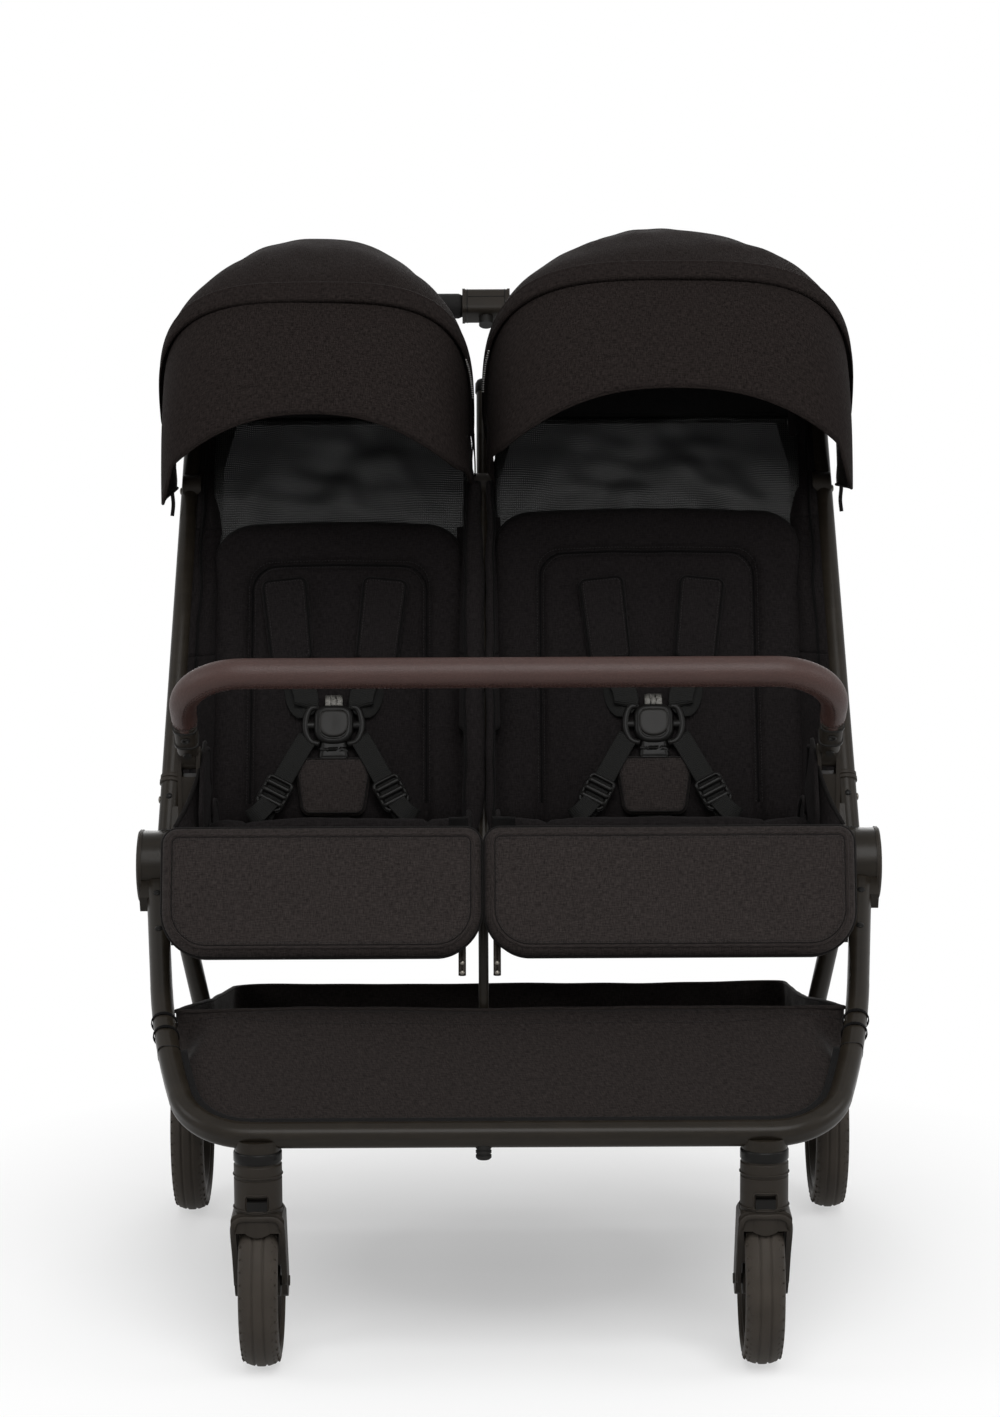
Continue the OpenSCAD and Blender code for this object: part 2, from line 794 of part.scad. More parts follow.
// Bar that the seat backs hinge on, with an arm from each hub
module recline_bar() {
    arm_angle = atan2(bight_z - hub_z, bight_y);
    arm_len = norm([bight_y, bight_z - hub_z]);
    color(frame_colour) {
        along_x(-push_lug_x1, push_lug_x1, bight_y, bight_z, recline_r);
        both_sides()
            translate([0, 0, hub_z])
                rotate([arm_angle, 0, 0])
                    difference() {
                        translate([push_lug_x0, 0, -6])
                            cube([lug_t, arm_len, 12]);
                        along_x(push_lug_x0 - 1, push_lug_x1 + 1, 0, 0, lug_r);
                        rotate([90 - push_lean - arm_angle, 0, 0])
                            translate([push_lug_x0 - 1, 0, -9])
                                cube([lug_t + 2, lug_reach, 18]);
                    }
    }
}

// Canopy pivots: outer ones on the push tubes, inner ones on the centre post
clip_in = push_at(canopy_pivot_s) - push_tube_r - 2;
post_clip = post_r + 3;

module canopy_clips() {
    color(plastic_colour)
        translate([0, canopy_y, canopy_z]) {
            both_sides() {
                difference() {
                    along_x(clip_in, clip_in + 20, 0, 0, clip_r);
                    translate([0, -canopy_y, -canopy_z])
                        in_push_plane()
                            push_run();
                }
                along_x(clip_in - layer - ear_t - 2, clip_in + 1, 0, 0, canopy_pin_r);
            }
            difference() {
                union() {
                    along_x(divide_x - post_clip, divide_x + post_clip, 0, 0, clip_r);
                    along_x(divide_x - post_clip - ear_t - 2, divide_x + post_clip + ear_t + 2, 0, 0, canopy_pin_r);
                }
                translate([0, -canopy_y, -canopy_z])
                    in_push_plane()
                        rod([divide_x, 0, 0], [divide_x, push_seam_s, 0], post_r);
            }
        }
}

// Half profile of a canopy: an arch over the seat with feet that come in to the pivots
function arch(span, inset, wide) = let (mid = (span[0] + span[1]) / 2, half = (span[1] - span[0]) / 2 - inset,
    top = canopy_r + wide * canopy_rise - inset)
    [for (t = [0 : 10 : 180]) [canopy_foot_r + (top - canopy_foot_r) * pow(sin(t), canopy_power),
        mid - half * sign(cos(t)) * pow(abs(cos(t)), canopy_power)]];

// A foot stays straight out to the radius hold, past what the clip or the tube takes up
function feet(span, ends, r, inset, wide, hold) =
    concat([[r, ends[0]], [hold, ends[0]]], arch(span, inset, wide), [[hold, ends[1]], [r, ends[1]]]);

function reversed(list) = [for (i = [len(list) - 1 : -1 : 0]) list[i]];

module canopy_profile(span, ends, r, inset, wide, hold) {
    inner = [ends[0] + canopy_t, ends[1] - canopy_t];
    polygon(concat(feet(span, ends, r, inset, wide, hold),
        reversed(feet(span, inner, r, inset + canopy_t, wide, hold))));
}

foot_hold = 3 * push_tube_r + 1;
left_rear_ends = [-clip_in + 0.6, divide_x - post_clip + 2];
right_rear_ends = [divide_x + post_clip - 2, clip_in - 0.6];
left_ears = [-clip_in + 0.6 + layer, divide_x - post_clip - 1.6 - ear_t];
right_ears = [divide_x + post_clip + 1.6, clip_in - 0.6 - layer - ear_t];

module canopy_rear(span, ends, wide) {
    color(cloth_colour)
        translate([0, canopy_y, canopy_z])
            sweep_x(rear_edge_angle, bow_angle - wide * canopy_ease)
                canopy_profile(span, ends, clip_r + pass_gap, 0, wide, foot_hold);
}

module canopy_front(span, ears, wide) {
    mid = (span[0] + span[1]) / 2;
    ease = wide * canopy_ease;
    edge_z = (canopy_r + wide * canopy_rise) * cos(visor_mid_angle - ease);
    scoop_rise = 62;
    scoop_half = (span[1] - span[0]) / 2 * 0.85;
    scoop_r = (scoop_half * scoop_half + scoop_rise * scoop_rise) / (2 * scoop_rise);
    ear_r = 11;
    color(cloth_colour)
        translate([0, canopy_y, canopy_z])
            difference() {
                union() {
                    difference() {
                        sweep_x(bow_angle - ease - 2, visor_angle - ease)
                            canopy_profile(span, [ears[0] + 0.3, ears[1] + ear_t - 0.3], ear_r - 2, layer, wide,
                                foot_hold);
                        translate([mid, -canopy_r - 40, edge_z - scoop_r])
                            rotate([-90, 0, 0])
                                cylinder(r = scoop_r, h = canopy_r - 60, $fn = 96);
                    }
                    for (x = ears)
                        along_x(x, x + ear_t, 0, 0, ear_r);
                }
                along_x(-hub_half_w, hub_half_w, 0, 0, canopy_pin_r + pin_gap);
            }
}

mesh_gap = 24;

module mesh_windows() {
    h = 112;
    t = 2;
    out = clip_in - ear_t - 5;
    color(cloth_colour)
        on_back()
            for (span = [[-out, divide_x - mesh_gap], [divide_x + mesh_gap, out]])
                translate([span[0], recline_lift + back_len + 2, -t - 4])
                    cube([span[1] - span[0], h, t]);
}

// Seats

module seat_tub(span) {
    sweep_r = norm([bight_y, bight_z - hub_z]) - recline_r - 3;
    wall = concat([[bight_y - 12, bight_z - 2], [leg_pivot_y + 30, leg_pivot_z + 8],
        [leg_pivot_y + 28, leg_pivot_z + 34], [bumper_pivot_y - 20, bumper_pivot_z - 6],
        [bumper_pivot_y + 20, bumper_pivot_z + 6], [-60, bumper_pivot_z]],
        [for (a = [120 : -12 : 24]) [sweep_r * cos(a), hub_z + sweep_r * sin(a)]]);
    color(cloth_colour) {
        for (x = [span[0] - tub_t, span[1]])
            translate([x, 0, 0])
                rotate([90, 0, 90])
                    linear_extrude(tub_t)
                        polygon(wall);
        on_seat()
            translate([span[0] - tub_t / 2, -tub_front, -4])
                cube([span[1] - span[0] + tub_t, tub_front - knuckle_r - 6, 4]);
    }
}

module seat_cushion(span) {
    w = span[1] - span[0] - 4;
    h = tub_front - 16;
    color(pad_colour)
        on_seat()
            translate([(span[0] + span[1]) / 2, -h / 2 - 12, 0])
                cushion(w, h, seat_pad_t, 12, 12, 0.25, 0.02, "none");
}

module back_board(span) {
    knuckle_w = 22;
    w = span[1] - span[0];
    color(plastic_colour)
        on_back()
            difference() {
                union() {
                    translate([span[0], -6, -back_pad_t - 6])
                        cube([w, back_len + recline_lift, 6]);
                    for (x = [span[0] + w * 0.2, span[1] - w * 0.2]) {
                        along_x(x - knuckle_w / 2, x + knuckle_w / 2, 0, 0, knuckle_r);
                        translate([x - knuckle_w / 2, -6, -back_pad_t - 1])
                            cube([knuckle_w, 12, back_pad_t]);
                    }
                }
                along_x(-hub_half_w, hub_half_w, 0, 0, recline_r + pin_gap);
            }
}

module back_pad(span) {
    w = span[1] - span[0];
    color(pad_colour)
        on_back()
            translate([(span[0] + span[1]) / 2, back_len / 2 + recline_lift, -back_pad_t])
                cushion(w, back_len, back_pad_t, 16, 22, 0.25, 0.02, "panel");
}

// Harness: shoulder pads, crotch pad and webbing over the back pad
module harness(span) {
    mid = (span[0] + span[1]) / 2;
    top = 238;
    reach = 92;
    spread = 34;
    crotch_at = 56;
    crotch_len = 52;
    color(pad_colour)
        on_back()
            translate([mid, 0, pass_gap]) {
                for (m = [-1, 1])
                    translate([m * spread * 1.5, top, 0])
                        rotate([0, 0, m * -8])
                            cushion(44, reach, 9, 6, 8, 0.3, 0, "none");
                translate([0, crotch_at, -pad_drop(crotch_at + crotch_len / 2)])
                    cushion(64, crotch_len, 9, 6, 6, 0.3, 0, "none");
            }
}

buckle_s = 122;
buckle_w = 42;
buckle_t = 13;

module buckle(span) {
    mid = (span[0] + span[1]) / 2;
    color(plastic_colour)
        on_back()
            translate([mid, buckle_s, pass_gap])
                difference() {
                    union() {
                        linear_extrude(buckle_t)
                            soft_box(buckle_w, buckle_w + 4, 14);
                        translate([0, 0, 2])
                            linear_extrude(5)
                                soft_box(buckle_w + 30, 22, 6);
                    }
                    translate([0, 0, buckle_t - 5])
                        cylinder(r = 9 + pass_gap, h = 10);
                }
}

module buckle_button(span) {
    mid = (span[0] + span[1]) / 2;
    color(plastic_colour)
        on_back()
            translate([mid, buckle_s, pass_gap + buckle_t - 2.2])
                cylinder(r = 9, h = 3.6);
}

module leg_rest(span) {
    w = span[1] - span[0];
    up = 20;
    lift = cross_r + 1.5;
    lug_w = 16;
    color(pad_colour)
        on_leg_rest()
            difference() {
                union() {
                    translate([(span[0] + span[1]) / 2, up - leg_rest_len / 2, lift])
                        cushion(w, leg_rest_len, leg_rest_t, 16, 10, 0.2, 0.01, "none");
                    for (x = [span[0] + w * 0.2, span[1] - w * 0.2])
                        translate([x - lug_w / 2, 0, 0])
                            rotate([90, 0, 90])
                                linear_extrude(lug_w)
                                    polygon([[-cross_r - 3, -cross_r - 3], [cross_r + 3, -cross_r - 3],
                                        [cross_r + 3, lift + 4], [-cross_r - 3, lift + 4]]);
                }
                along_x(-hub_half_w, hub_half_w, 0, 0, cross_r + pin_gap);
            }
}

// Bumper bar

module in_bumper_plane() {
    translate([0, bumper_pivot_y, bumper_pivot_z])
        rotate([-arm_tilt, 0, 0])
            children();
}

module bumper_run(r, from) {
    both_sides() {
        rod([bumper_arm_x, -from, 0], [bumper_arm_x, -arm_len + bumper_corner_r, 0], r);
        translate([bumper_arm_x - bumper_corner_r, -arm_len + bumper_corner_r, 0])
            rotate([0, 0, -90])
                rotate_extrude(angle = 90)
                    translate([bumper_corner_r, 0])
                        circle(r);
    }
    rod([bumper_corner_r - bumper_arm_x, -arm_len, 0], [bumper_arm_x - bumper_corner_r, -arm_len, 0], r);
}

module bumper_bar() {
    color(plastic_colour)
        in_bumper_plane()
            difference() {
                union() {
                    bumper_run(bumper_core_r, tongue_len - 1);
                    both_sides()
                        translate([bumper_arm_x - tongue_w / 2, -tongue_len, -bumper_core_r + 1])
                            cube([tongue_w, tongue_len, 2 * bumper_core_r - 2]);
                    both_sides()
                        along_x(bumper_arm_x - tongue_w / 2, bumper_arm_x + tongue_w / 2, 0, 0, bumper_core_r);
                }
                both_sides()
                    along_x(bumper_arm_x - 20, bumper_arm_x + 20, 0, 0, bumper_pin_r + pin_gap);
                both_sides()
                    translate([bumper_arm_x, -fitting_len / 2 - 5, -bumper_core_r - 3])
                        cylinder(r = bumper_button_r + pass_gap, h = 10);
            }
}

module bumper_cover() {
    color(leather_colour)
        in_bumper_plane()
            difference() {
                bumper_run(bumper_r, fitting_len + 1);
                bumper_run(bumper_core_r, fitting_len);
            }
}

module bumper_button(s) {
    color(frame_colour)
        side(s)
            in_bumper_plane()
                translate([bumper_arm_x, -fitting_len / 2 - 5, -bumper_core_r - 1.5])
                    cylinder(r = bumper_button_r, h = 5.5);
}

module bumper_brackets() {
    ear = 4;
    slot = tongue_w + 2 * pass_gap;
    rail_at = rail_rear_z + (leg_pivot_z - rail_rear_z) * (bight_y - 40 - bumper_pivot_y)
        / (bight_y - 40 - leg_pivot_y);
    color(plastic_colour)
        both_sides()
            difference() {
                union() {
                    for (x = [bumper_arm_x - slot / 2 - ear, bumper_arm_x + slot / 2])
                        translate([x, 0, 0])
                            rotate([90, 0, 90])
                                linear_extrude(ear) {
                                    translate([bumper_pivot_y, bumper_pivot_z])
                                        circle(bracket_r);
                                    translate([bumper_pivot_y - bracket_r, rail_at])
                                        square([2 * bracket_r, bumper_pivot_z - rail_at]);
                                }
                    along_x(bumper_arm_x - tongue_w / 2 - 2, bumper_arm_x + tongue_w / 2 + 2,
                        bumper_pivot_y, bumper_pivot_z, bumper_pin_r);
                    translate([bumper_arm_x - slot / 2 - 1, bumper_pivot_y - bracket_r + 1, rail_at + 1])
                        cube([slot + 2, 2 * bracket_r - 2,
                            bumper_pivot_z - rail_at - bumper_core_r - 7]);
                }
                rod([rail_x, bight_y - 40, rail_rear_z], [rail_x, leg_pivot_y, leg_pivot_z], cross_r);
            }
}

// Basket

// The bag is drawn three times, from the side, from above and from the front, and keeps what all three share
function corner(at, r, a0, a1) = [for (i = [0 : 4]) let (a = a0 + (a1 - a0) * i / 4) at + r * [cos(a), sin(a)]];

loop_in_r = loop_corner_r - loop_tube_w / 2 - 2;
function loop_in_x(share) = loop_side_x(share * loop_len) - loop_tube_w / 2 / cos(loop_toe) - 2;
hem_y = 170 - loop_reach;
basket_front_y = 27 - loop_reach;
basket_rear_y = 172;
basket_rim_z = 258;

function loop_z(y) = hub_z + y * tan(loop_slope);

// Outline from its right half, which starts and ends on the middle line
function both_halves(run) = concat(run, [for (i = [len(run) - 2 : -1 : 1]) [-run[i].x, run[i].y]]);

module bag_side(inset, open) {
    floor_z = basket_floor_z + inset;
    low_front = basket_front_y + 27 + inset;
    low_rear = basket_rear_y - 8 - inset;
    polygon(concat(
        [[basket_front_y + inset * 1.6, loop_z(basket_front_y + inset * 1.6) - inset * 1.2]],
        [[low_front, floor_z + 46], [low_front + 6, floor_z + 32], [low_front + 18, floor_z + 26],
            [hem_y, floor_z + 1], [hem_y + 30, floor_z]],
        corner([low_rear - 18, floor_z + 18], 18, 270, 350),
        open ? [[basket_rear_y - inset, basket_rim_z + 60], [hem_y + inset, loop_z(hem_y) + 40],
            [hem_y + inset, loop_z(hem_y) - inset * 1.2]]
        : [[basket_rear_y - inset, basket_rim_z], [hem_y, loop_z(hem_y)]]));
}

module bag_plan(inset) {
    arc_y = loop_ay * cos(loop_slope);
    r = loop_in_r - inset;
    half = concat(
        [for (a = [75 : -15 : 15]) [loop_arc_x + r * cos(a), arc_y - r * cos(loop_slope) * sin(a)]],
        [for (k = [0.72, 0.6, 0.52]) [loop_in_x(k) - inset, -k * loop_len * cos(loop_slope)]]);
    rear_w = basket_half_w - inset;
    run = concat([[0, basket_front_y + inset]], half, [[rear_w + 4, -90], [rear_w, 90]],
        corner([rear_w - 24, basket_rear_y - inset - 24], 24, 0, 90), [[0, basket_rear_y - inset]]);
    polygon(both_halves(run));
}

module bag_front(inset) {
    half = loop_in_x(0.52) - inset;
    floor_z = basket_floor_z + inset;
    r = 40;
    run = concat([[0, floor_z - 5], [half * 0.55, floor_z - 3]], corner([half - r, floor_z + r], r, 270, 360),
        [[half, hub_z], [0, hub_z]]);
    polygon(both_halves(run));
}

module bag(inset, open) {
    intersection() {
        rotate([90, 0, 90])
            linear_extrude(2 * hub_half_w, center = true)
                bag_side(inset, open);
        linear_extrude(hub_z)
            bag_plan(inset);
        rotate([90, 0, 0])
            linear_extrude(4 * hub_half_w, center = true)
                bag_front(inset);
    }
}

module basket() {
    color(cloth_colour)
        difference() {
            bag(0, false);
            bag(basket_t, true);
            rod(strut_knee, strut_foot, strut_r + 1);
        }
}

front_frame();
hub_cover(-1);  // hub_cover_left
hub_cover(1);  // hub_cover_right
seat_frame();
centre_strut();
frame_foot();
castor_housing(-1);  // castor_housing_left
castor_housing(1);  // castor_housing_right
castor_lock(-1);  // castor_lock_left
castor_lock(1);  // castor_lock_right
fork(-1);  // fork_left
fork(1);  // fork_right
front_rim(-1);  // front_rim_left
front_rim(1);  // front_rim_right
front_tyre(-1);  // front_tyre_left
front_tyre(1);  // front_tyre_right
rear_leg(-1);  // rear_leg_left
rear_leg(1);  // rear_leg_right
rear_axle();
brake_pedal();
rear_rim(-1);  // rear_rim_left
rear_rim(1);  // rear_rim_right
rear_tyre(-1);  // rear_tyre_left
rear_tyre(1);  // rear_tyre_right
push_tube(-1);  // push_tube_left
push_tube(1);  // push_tube_right
handlebar();
handle_grips();
fold_housing();
fold_button();
centre_post();
recline_bar();
canopy_clips();
mesh_windows();
canopy_rear(left_canopy, left_rear_ends, 0);  // canopy_rear_left
canopy_rear(right_canopy, right_rear_ends, 1);  // canopy_rear_right
canopy_front(left_canopy, left_ears, 0);  // canopy_front_left
canopy_front(right_canopy, right_ears, 1);  // canopy_front_right
seat_tub(left_tub);  // seat_tub_left
seat_tub(right_tub);  // seat_tub_right
seat_cushion(left_tub);  // seat_cushion_left
seat_cushion(right_tub);  // seat_cushion_right
back_board(left_back);  // back_board_left
back_board(right_back);  // back_board_right
back_pad(left_back);  // back_pad_left
back_pad(right_back);  // back_pad_right
harness(left_back);  // harness_left
harness(right_back);  // harness_right
buckle(left_back);  // buckle_left
buckle(right_back);  // buckle_right
buckle_button(left_back);  // buckle_button_left
buckle_button(right_back);  // buckle_button_right
leg_rest(left_leg);  // leg_rest_left
leg_rest(right_leg);  // leg_rest_right
bumper_brackets();
bumper_bar();
bumper_cover();
bumper_button(-1);  // bumper_button_left
bumper_button(1);  // bumper_button_right
basket();
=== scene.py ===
import bpy
import bmesh
from math import atan, atan2, ceil, cos, degrees, hypot, pi, radians, sin, sqrt, tan
import numpy as np
from mathutils import Matrix, Vector


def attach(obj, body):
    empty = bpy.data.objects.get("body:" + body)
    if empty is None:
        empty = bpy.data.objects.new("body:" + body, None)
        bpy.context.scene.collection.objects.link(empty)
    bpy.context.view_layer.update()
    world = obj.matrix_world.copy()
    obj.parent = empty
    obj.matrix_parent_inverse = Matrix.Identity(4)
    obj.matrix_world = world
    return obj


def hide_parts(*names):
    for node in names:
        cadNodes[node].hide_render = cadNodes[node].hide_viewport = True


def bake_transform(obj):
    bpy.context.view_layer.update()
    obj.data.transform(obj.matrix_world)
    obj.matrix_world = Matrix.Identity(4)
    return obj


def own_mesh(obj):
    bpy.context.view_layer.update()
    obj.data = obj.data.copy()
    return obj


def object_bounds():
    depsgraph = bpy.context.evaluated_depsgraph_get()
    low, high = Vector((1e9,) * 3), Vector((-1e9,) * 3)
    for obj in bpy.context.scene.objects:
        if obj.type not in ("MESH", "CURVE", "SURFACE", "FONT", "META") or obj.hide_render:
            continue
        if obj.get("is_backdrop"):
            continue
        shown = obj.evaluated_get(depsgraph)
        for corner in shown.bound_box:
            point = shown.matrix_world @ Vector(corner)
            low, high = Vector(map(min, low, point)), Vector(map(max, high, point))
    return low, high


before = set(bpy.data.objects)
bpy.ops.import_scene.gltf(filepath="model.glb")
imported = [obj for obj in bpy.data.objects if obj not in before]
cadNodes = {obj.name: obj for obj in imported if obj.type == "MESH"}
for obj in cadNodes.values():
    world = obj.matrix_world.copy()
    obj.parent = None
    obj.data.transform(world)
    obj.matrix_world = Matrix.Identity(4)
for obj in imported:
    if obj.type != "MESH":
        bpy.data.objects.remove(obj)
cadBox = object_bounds()
studio = bpy.context.scene
studio.view_settings.view_transform = "Standard"
mm = 0.001
print("frame loaded:", len(cadNodes), "solids")

# camera, at the place the picture was taken from
view = {"place": (-0.0085, -3.8739, 1.1948), "pitch": 8.89, "roll": -0.269, "focalPx": 3800, "tallPx": 1417}
camData = bpy.data.cameras.new("camera")
camData.sensor_fit = "VERTICAL"
camData.sensor_height = 36
camData.lens = view["focalPx"] / view["tallPx"] * 36
camera = bpy.data.objects.new("camera", camData)
camera.matrix_world = (Matrix.Translation(view["place"])
                       @ Matrix.Rotation(radians(90 - view["pitch"]), 4, "X")
                       @ Matrix.Rotation(radians(view["roll"]), 4, "Z"))
studio.collection.objects.link(camera)
studio.camera = camera


# shader maths: a wire is a socket that can be added, multiplied and so on
class Wire:
    def __init__(self, paint, sock):
        self.paint = paint
        self.sock = sock

    def calc(self, operation, other=0.0, swap=False):
        a, b = (other, self) if swap else (self, other)
        return self.paint.node("ShaderNodeMath", {"operation": operation}, {0: a, 1: b})

    def __add__(self, other):
        return self.calc("ADD", other)

    def __sub__(self, other):
        return self.calc("SUBTRACT", other)

    def __rsub__(self, other):
        return self.calc("SUBTRACT", other, True)

    def __mul__(self, other):
        return self.calc("MULTIPLY", other)

    def sine(self):
        return self.calc("SINE")

    def wave(self):
        return self.sine() * 0.5 + 0.5

    def clip(self, low, high):
        return self.calc("MAXIMUM", low).calc("MINIMUM", high)


class Paint:
    def __init__(self, name, tree=None):
        if tree is None:
            self.material = bpy.data.materials.new(name)
            self.material.use_nodes = True
            tree = self.material.node_tree
        self.tree = tree
        self.shader = tree.nodes.get("Principled BSDF")

    def node(self, kind, settings=None, values=None, out=0):
        made = self.tree.nodes.new(kind)
        for key, value in (settings or {}).items():
            setattr(made, key, value)
        for key, value in (values or {}).items():
            self.feed(made.inputs[key], value)
        return Wire(self, made.outputs[out])

    def feed(self, socket, value):
        if isinstance(value, Wire):
            self.tree.links.new(value.sock, socket)
        else:
            socket.default_value = value

    def put(self, **values):
        for key, value in values.items():
            self.feed(self.shader.inputs[key.replace("_", " ")], value)

    def stretch(self, vector, by):
        return self.node("ShaderNodeVectorMath", {"operation": "MULTIPLY"}, {0: vector, 1: by})

    def noise(self, vector, by, detail=2.0, rough=0.5):
        at = self.stretch(vector, by)
        return self.node("ShaderNodeTexNoise", {}, {"Vector": at, "Scale": 1.0, "Detail": detail, "Roughness": rough})

    # the colour, darker to paler
    def shades(self, share, colour, low, high):
        dark, pale = [(*(c * gain for c in colour), 1.0) for gain in (low, high)]
        return self.node("ShaderNodeMix", {"data_type": "RGBA"}, {0: share, 6: dark, 7: pale}, 2)

    def span(self, value, low, high, to0=0.0, to1=1.0):
        return self.node("ShaderNodeMapRange", {}, {0: value, 1: low, 2: high, 3: to0, 4: to1})

    def bump(self, height, distance, strength=0.6):
        self.put(Normal=self.node("ShaderNodeBump", {}, {"Height": height, "Distance": distance, "Strength": strength}))

    def place(self, which="Object"):
        return self.node("ShaderNodeTexCoord", {}, {}, which)

    def axes(self, vector):
        x = self.node("ShaderNodeSeparateXYZ", {}, {0: vector})
        return x, Wire(self, x.sock.node.outputs[1])

    # 1 for what the camera sees, straight, mirrored or through something
    def seen(self):
        rays = self.tree.nodes.new("ShaderNodeLightPath")
        direct, glossy, through = [Wire(self, rays.outputs["Is %s Ray" % kind])
                                   for kind in ("Camera", "Glossy", "Transmission")]
        return (direct + glossy + through).clip(0.0, 1.0)


# woven cloth: slubbed threads both ways, a plain-weave relief and broad tone changes, on a UV map in metres
def clothPaint(name, colour, thread=0.0011, slub=0.006, contrast=0.48, sheen=0.02, gloss=0.06):
    p = Paint(name)
    uv = p.place("UV")
    warp = p.noise(uv, (1 / thread, 1 / slub, 1), 1.5)
    weft = p.noise(uv, (1 / slub, 1 / thread, 1), 1.5)
    tone = p.noise(uv, (9, 9, 1))
    threads = p.span((warp + weft) * 0.5, 0.36, 0.64)
    across, along = p.axes(uv)
    pitch = 2 * pi / (thread * 1.5)
    weave = (across * pitch).sine() * (along * pitch).sine()
    p.put(Base_Color=p.shades(threads * 0.9 + tone * 0.1, colour, 1 - contrast, 1 + contrast),
          Roughness=threads * -0.12 + 0.92, Sheen_Weight=sheen, Sheen_Roughness=0.45, Specular_IOR_Level=gloss)
    p.bump(threads * 0.6 + weave * 0.25, 0.00035, 0.7)
    return p.material


# satin enamel on tube: fine orange peel, slight scuffs in the gloss
def tubePaint(name, colour):
    p = Paint(name)
    at = p.place()
    peel = p.noise(at, (900, 900, 900), 1.0)
    rub = p.span(p.noise(at, (38, 38, 160), 4.0, 0.65), 0.42, 0.72)
    p.put(Base_Color=p.shades(rub, colour, 0.9, 1.18), Roughness=rub * 0.09 + 0.32,
          Coat_Weight=0.03, Coat_Roughness=0.22, Specular_IOR_Level=0.12)
    p.bump(peel, 0.00012, 0.35)
    return p.material


# moulded plastic: spark-eroded grain
def plasticPaint(name, colour, rough=0.5, grain=1500, gloss=0.12):
    p = Paint(name)
    at = p.place()
    fine = p.noise(at, (grain, grain, grain))
    broad = p.noise(at, (30, 30, 30), 3.0)
    p.put(Base_Color=p.shades(p.span(broad, 0.3, 0.7), colour, 0.88, 1.12),
          Roughness=broad * 0.12 + (rough - 0.06), Specular_IOR_Level=gloss)
    p.bump(fine, 0.00012, 0.5)
    return p.material


# pebbled leatherette
def leatherPaint(name, colour):
    p = Paint(name)
    uv = p.place("UV")
    cells = p.node("ShaderNodeTexVoronoi", {"feature": "F1"}, {"Vector": p.stretch(uv, (640, 640, 1)), "Scale": 1.0})
    crease = p.noise(uv, (60, 200, 1), 3.0)
    tone = p.noise(uv, (14, 14, 1))
    pebble = p.span(cells, 0.0, 0.75, 1.0, 0.0)
    p.put(Base_Color=p.shades(pebble * 0.6 + tone * 0.4, colour, 0.72, 1.22),
          Roughness=pebble * -0.1 + crease * 0.12 + 0.45, Specular_IOR_Level=0.28)
    p.bump(pebble * 0.8 + crease * 0.3, 0.0003, 0.55)
    return p.material


# sheer mesh: knitted rows with fine gaps
def meshPaint(name, colour):
    p, pitch = Paint(name), 0.0026
    uv = p.place("UV")
    across, along = p.axes(uv)
    wander = p.noise(uv, (40, 40, 1)) * 0.9
    rows = (along * (2 * pi / pitch) + wander).wave()
    loops = (across * (2 * pi / (pitch * 0.8))).wave()
    tone = p.noise(uv, (18, 30, 1), 3.0)
    p.put(Base_Color=p.shades(rows * 0.6 + tone * 0.4, colour, 0.6, 1.5),
          Roughness=rows * 0.12 + 0.42, Alpha=1 - rows * loops * 0.22, Specular_IOR_Level=0.24)
    p.bump(rows * 0.7 + loops * 0.3, 0.0004, 0.7)
    return p.material


# webbing: a herringbone of cross ribs
def webPaint(name, colour):
    p = Paint(name)
    uv = p.place("UV")
    across, along = p.axes(uv)
    fold = (across * (2 * pi / 0.009)).sine() * 1.6
    ribs = (along * (2 * pi / 0.0022) + fold).wave()
    fuzz = p.noise(uv, (700, 700, 1))
    p.put(Base_Color=p.shades(ribs * 0.6 + fuzz * 0.4, colour, 0.6, 1.4),
          Roughness=fuzz * 0.15 + 0.55, Specular_IOR_Level=0.08)
    p.bump(ribs * 0.8 + fuzz * 0.3, 0.0004, 0.7)
    return p.material


# rubber and foam
def rubberPaint(name, colour, rough=0.62, grain=420, relief=0.00025):
    p = Paint(name)
    at = p.place()
    fine = p.noise(at, (grain, grain, grain), 4.0, 0.6)
    dust = p.noise(at, (24, 24, 24), 3.0)
    p.put(Base_Color=p.shades(p.span(dust, 0.35, 0.7), colour, 0.85, 1.2),
          Roughness=dust * 0.16 + (rough - 0.08), Specular_IOR_Level=0.12)
    p.bump(fine, relief, 0.5)
    return p.material


def steelPaint(name, colour, rough=0.3):
    p = Paint(name)
    brush = p.noise(p.place(), (60, 900, 900))
    p.put(Base_Color=p.shades(brush, colour, 0.85, 1.1), Roughness=brush * 0.15 + rough - 0.05, Metallic=0.9)
    p.bump(brush, 0.00005, 0.3)
    return p.material


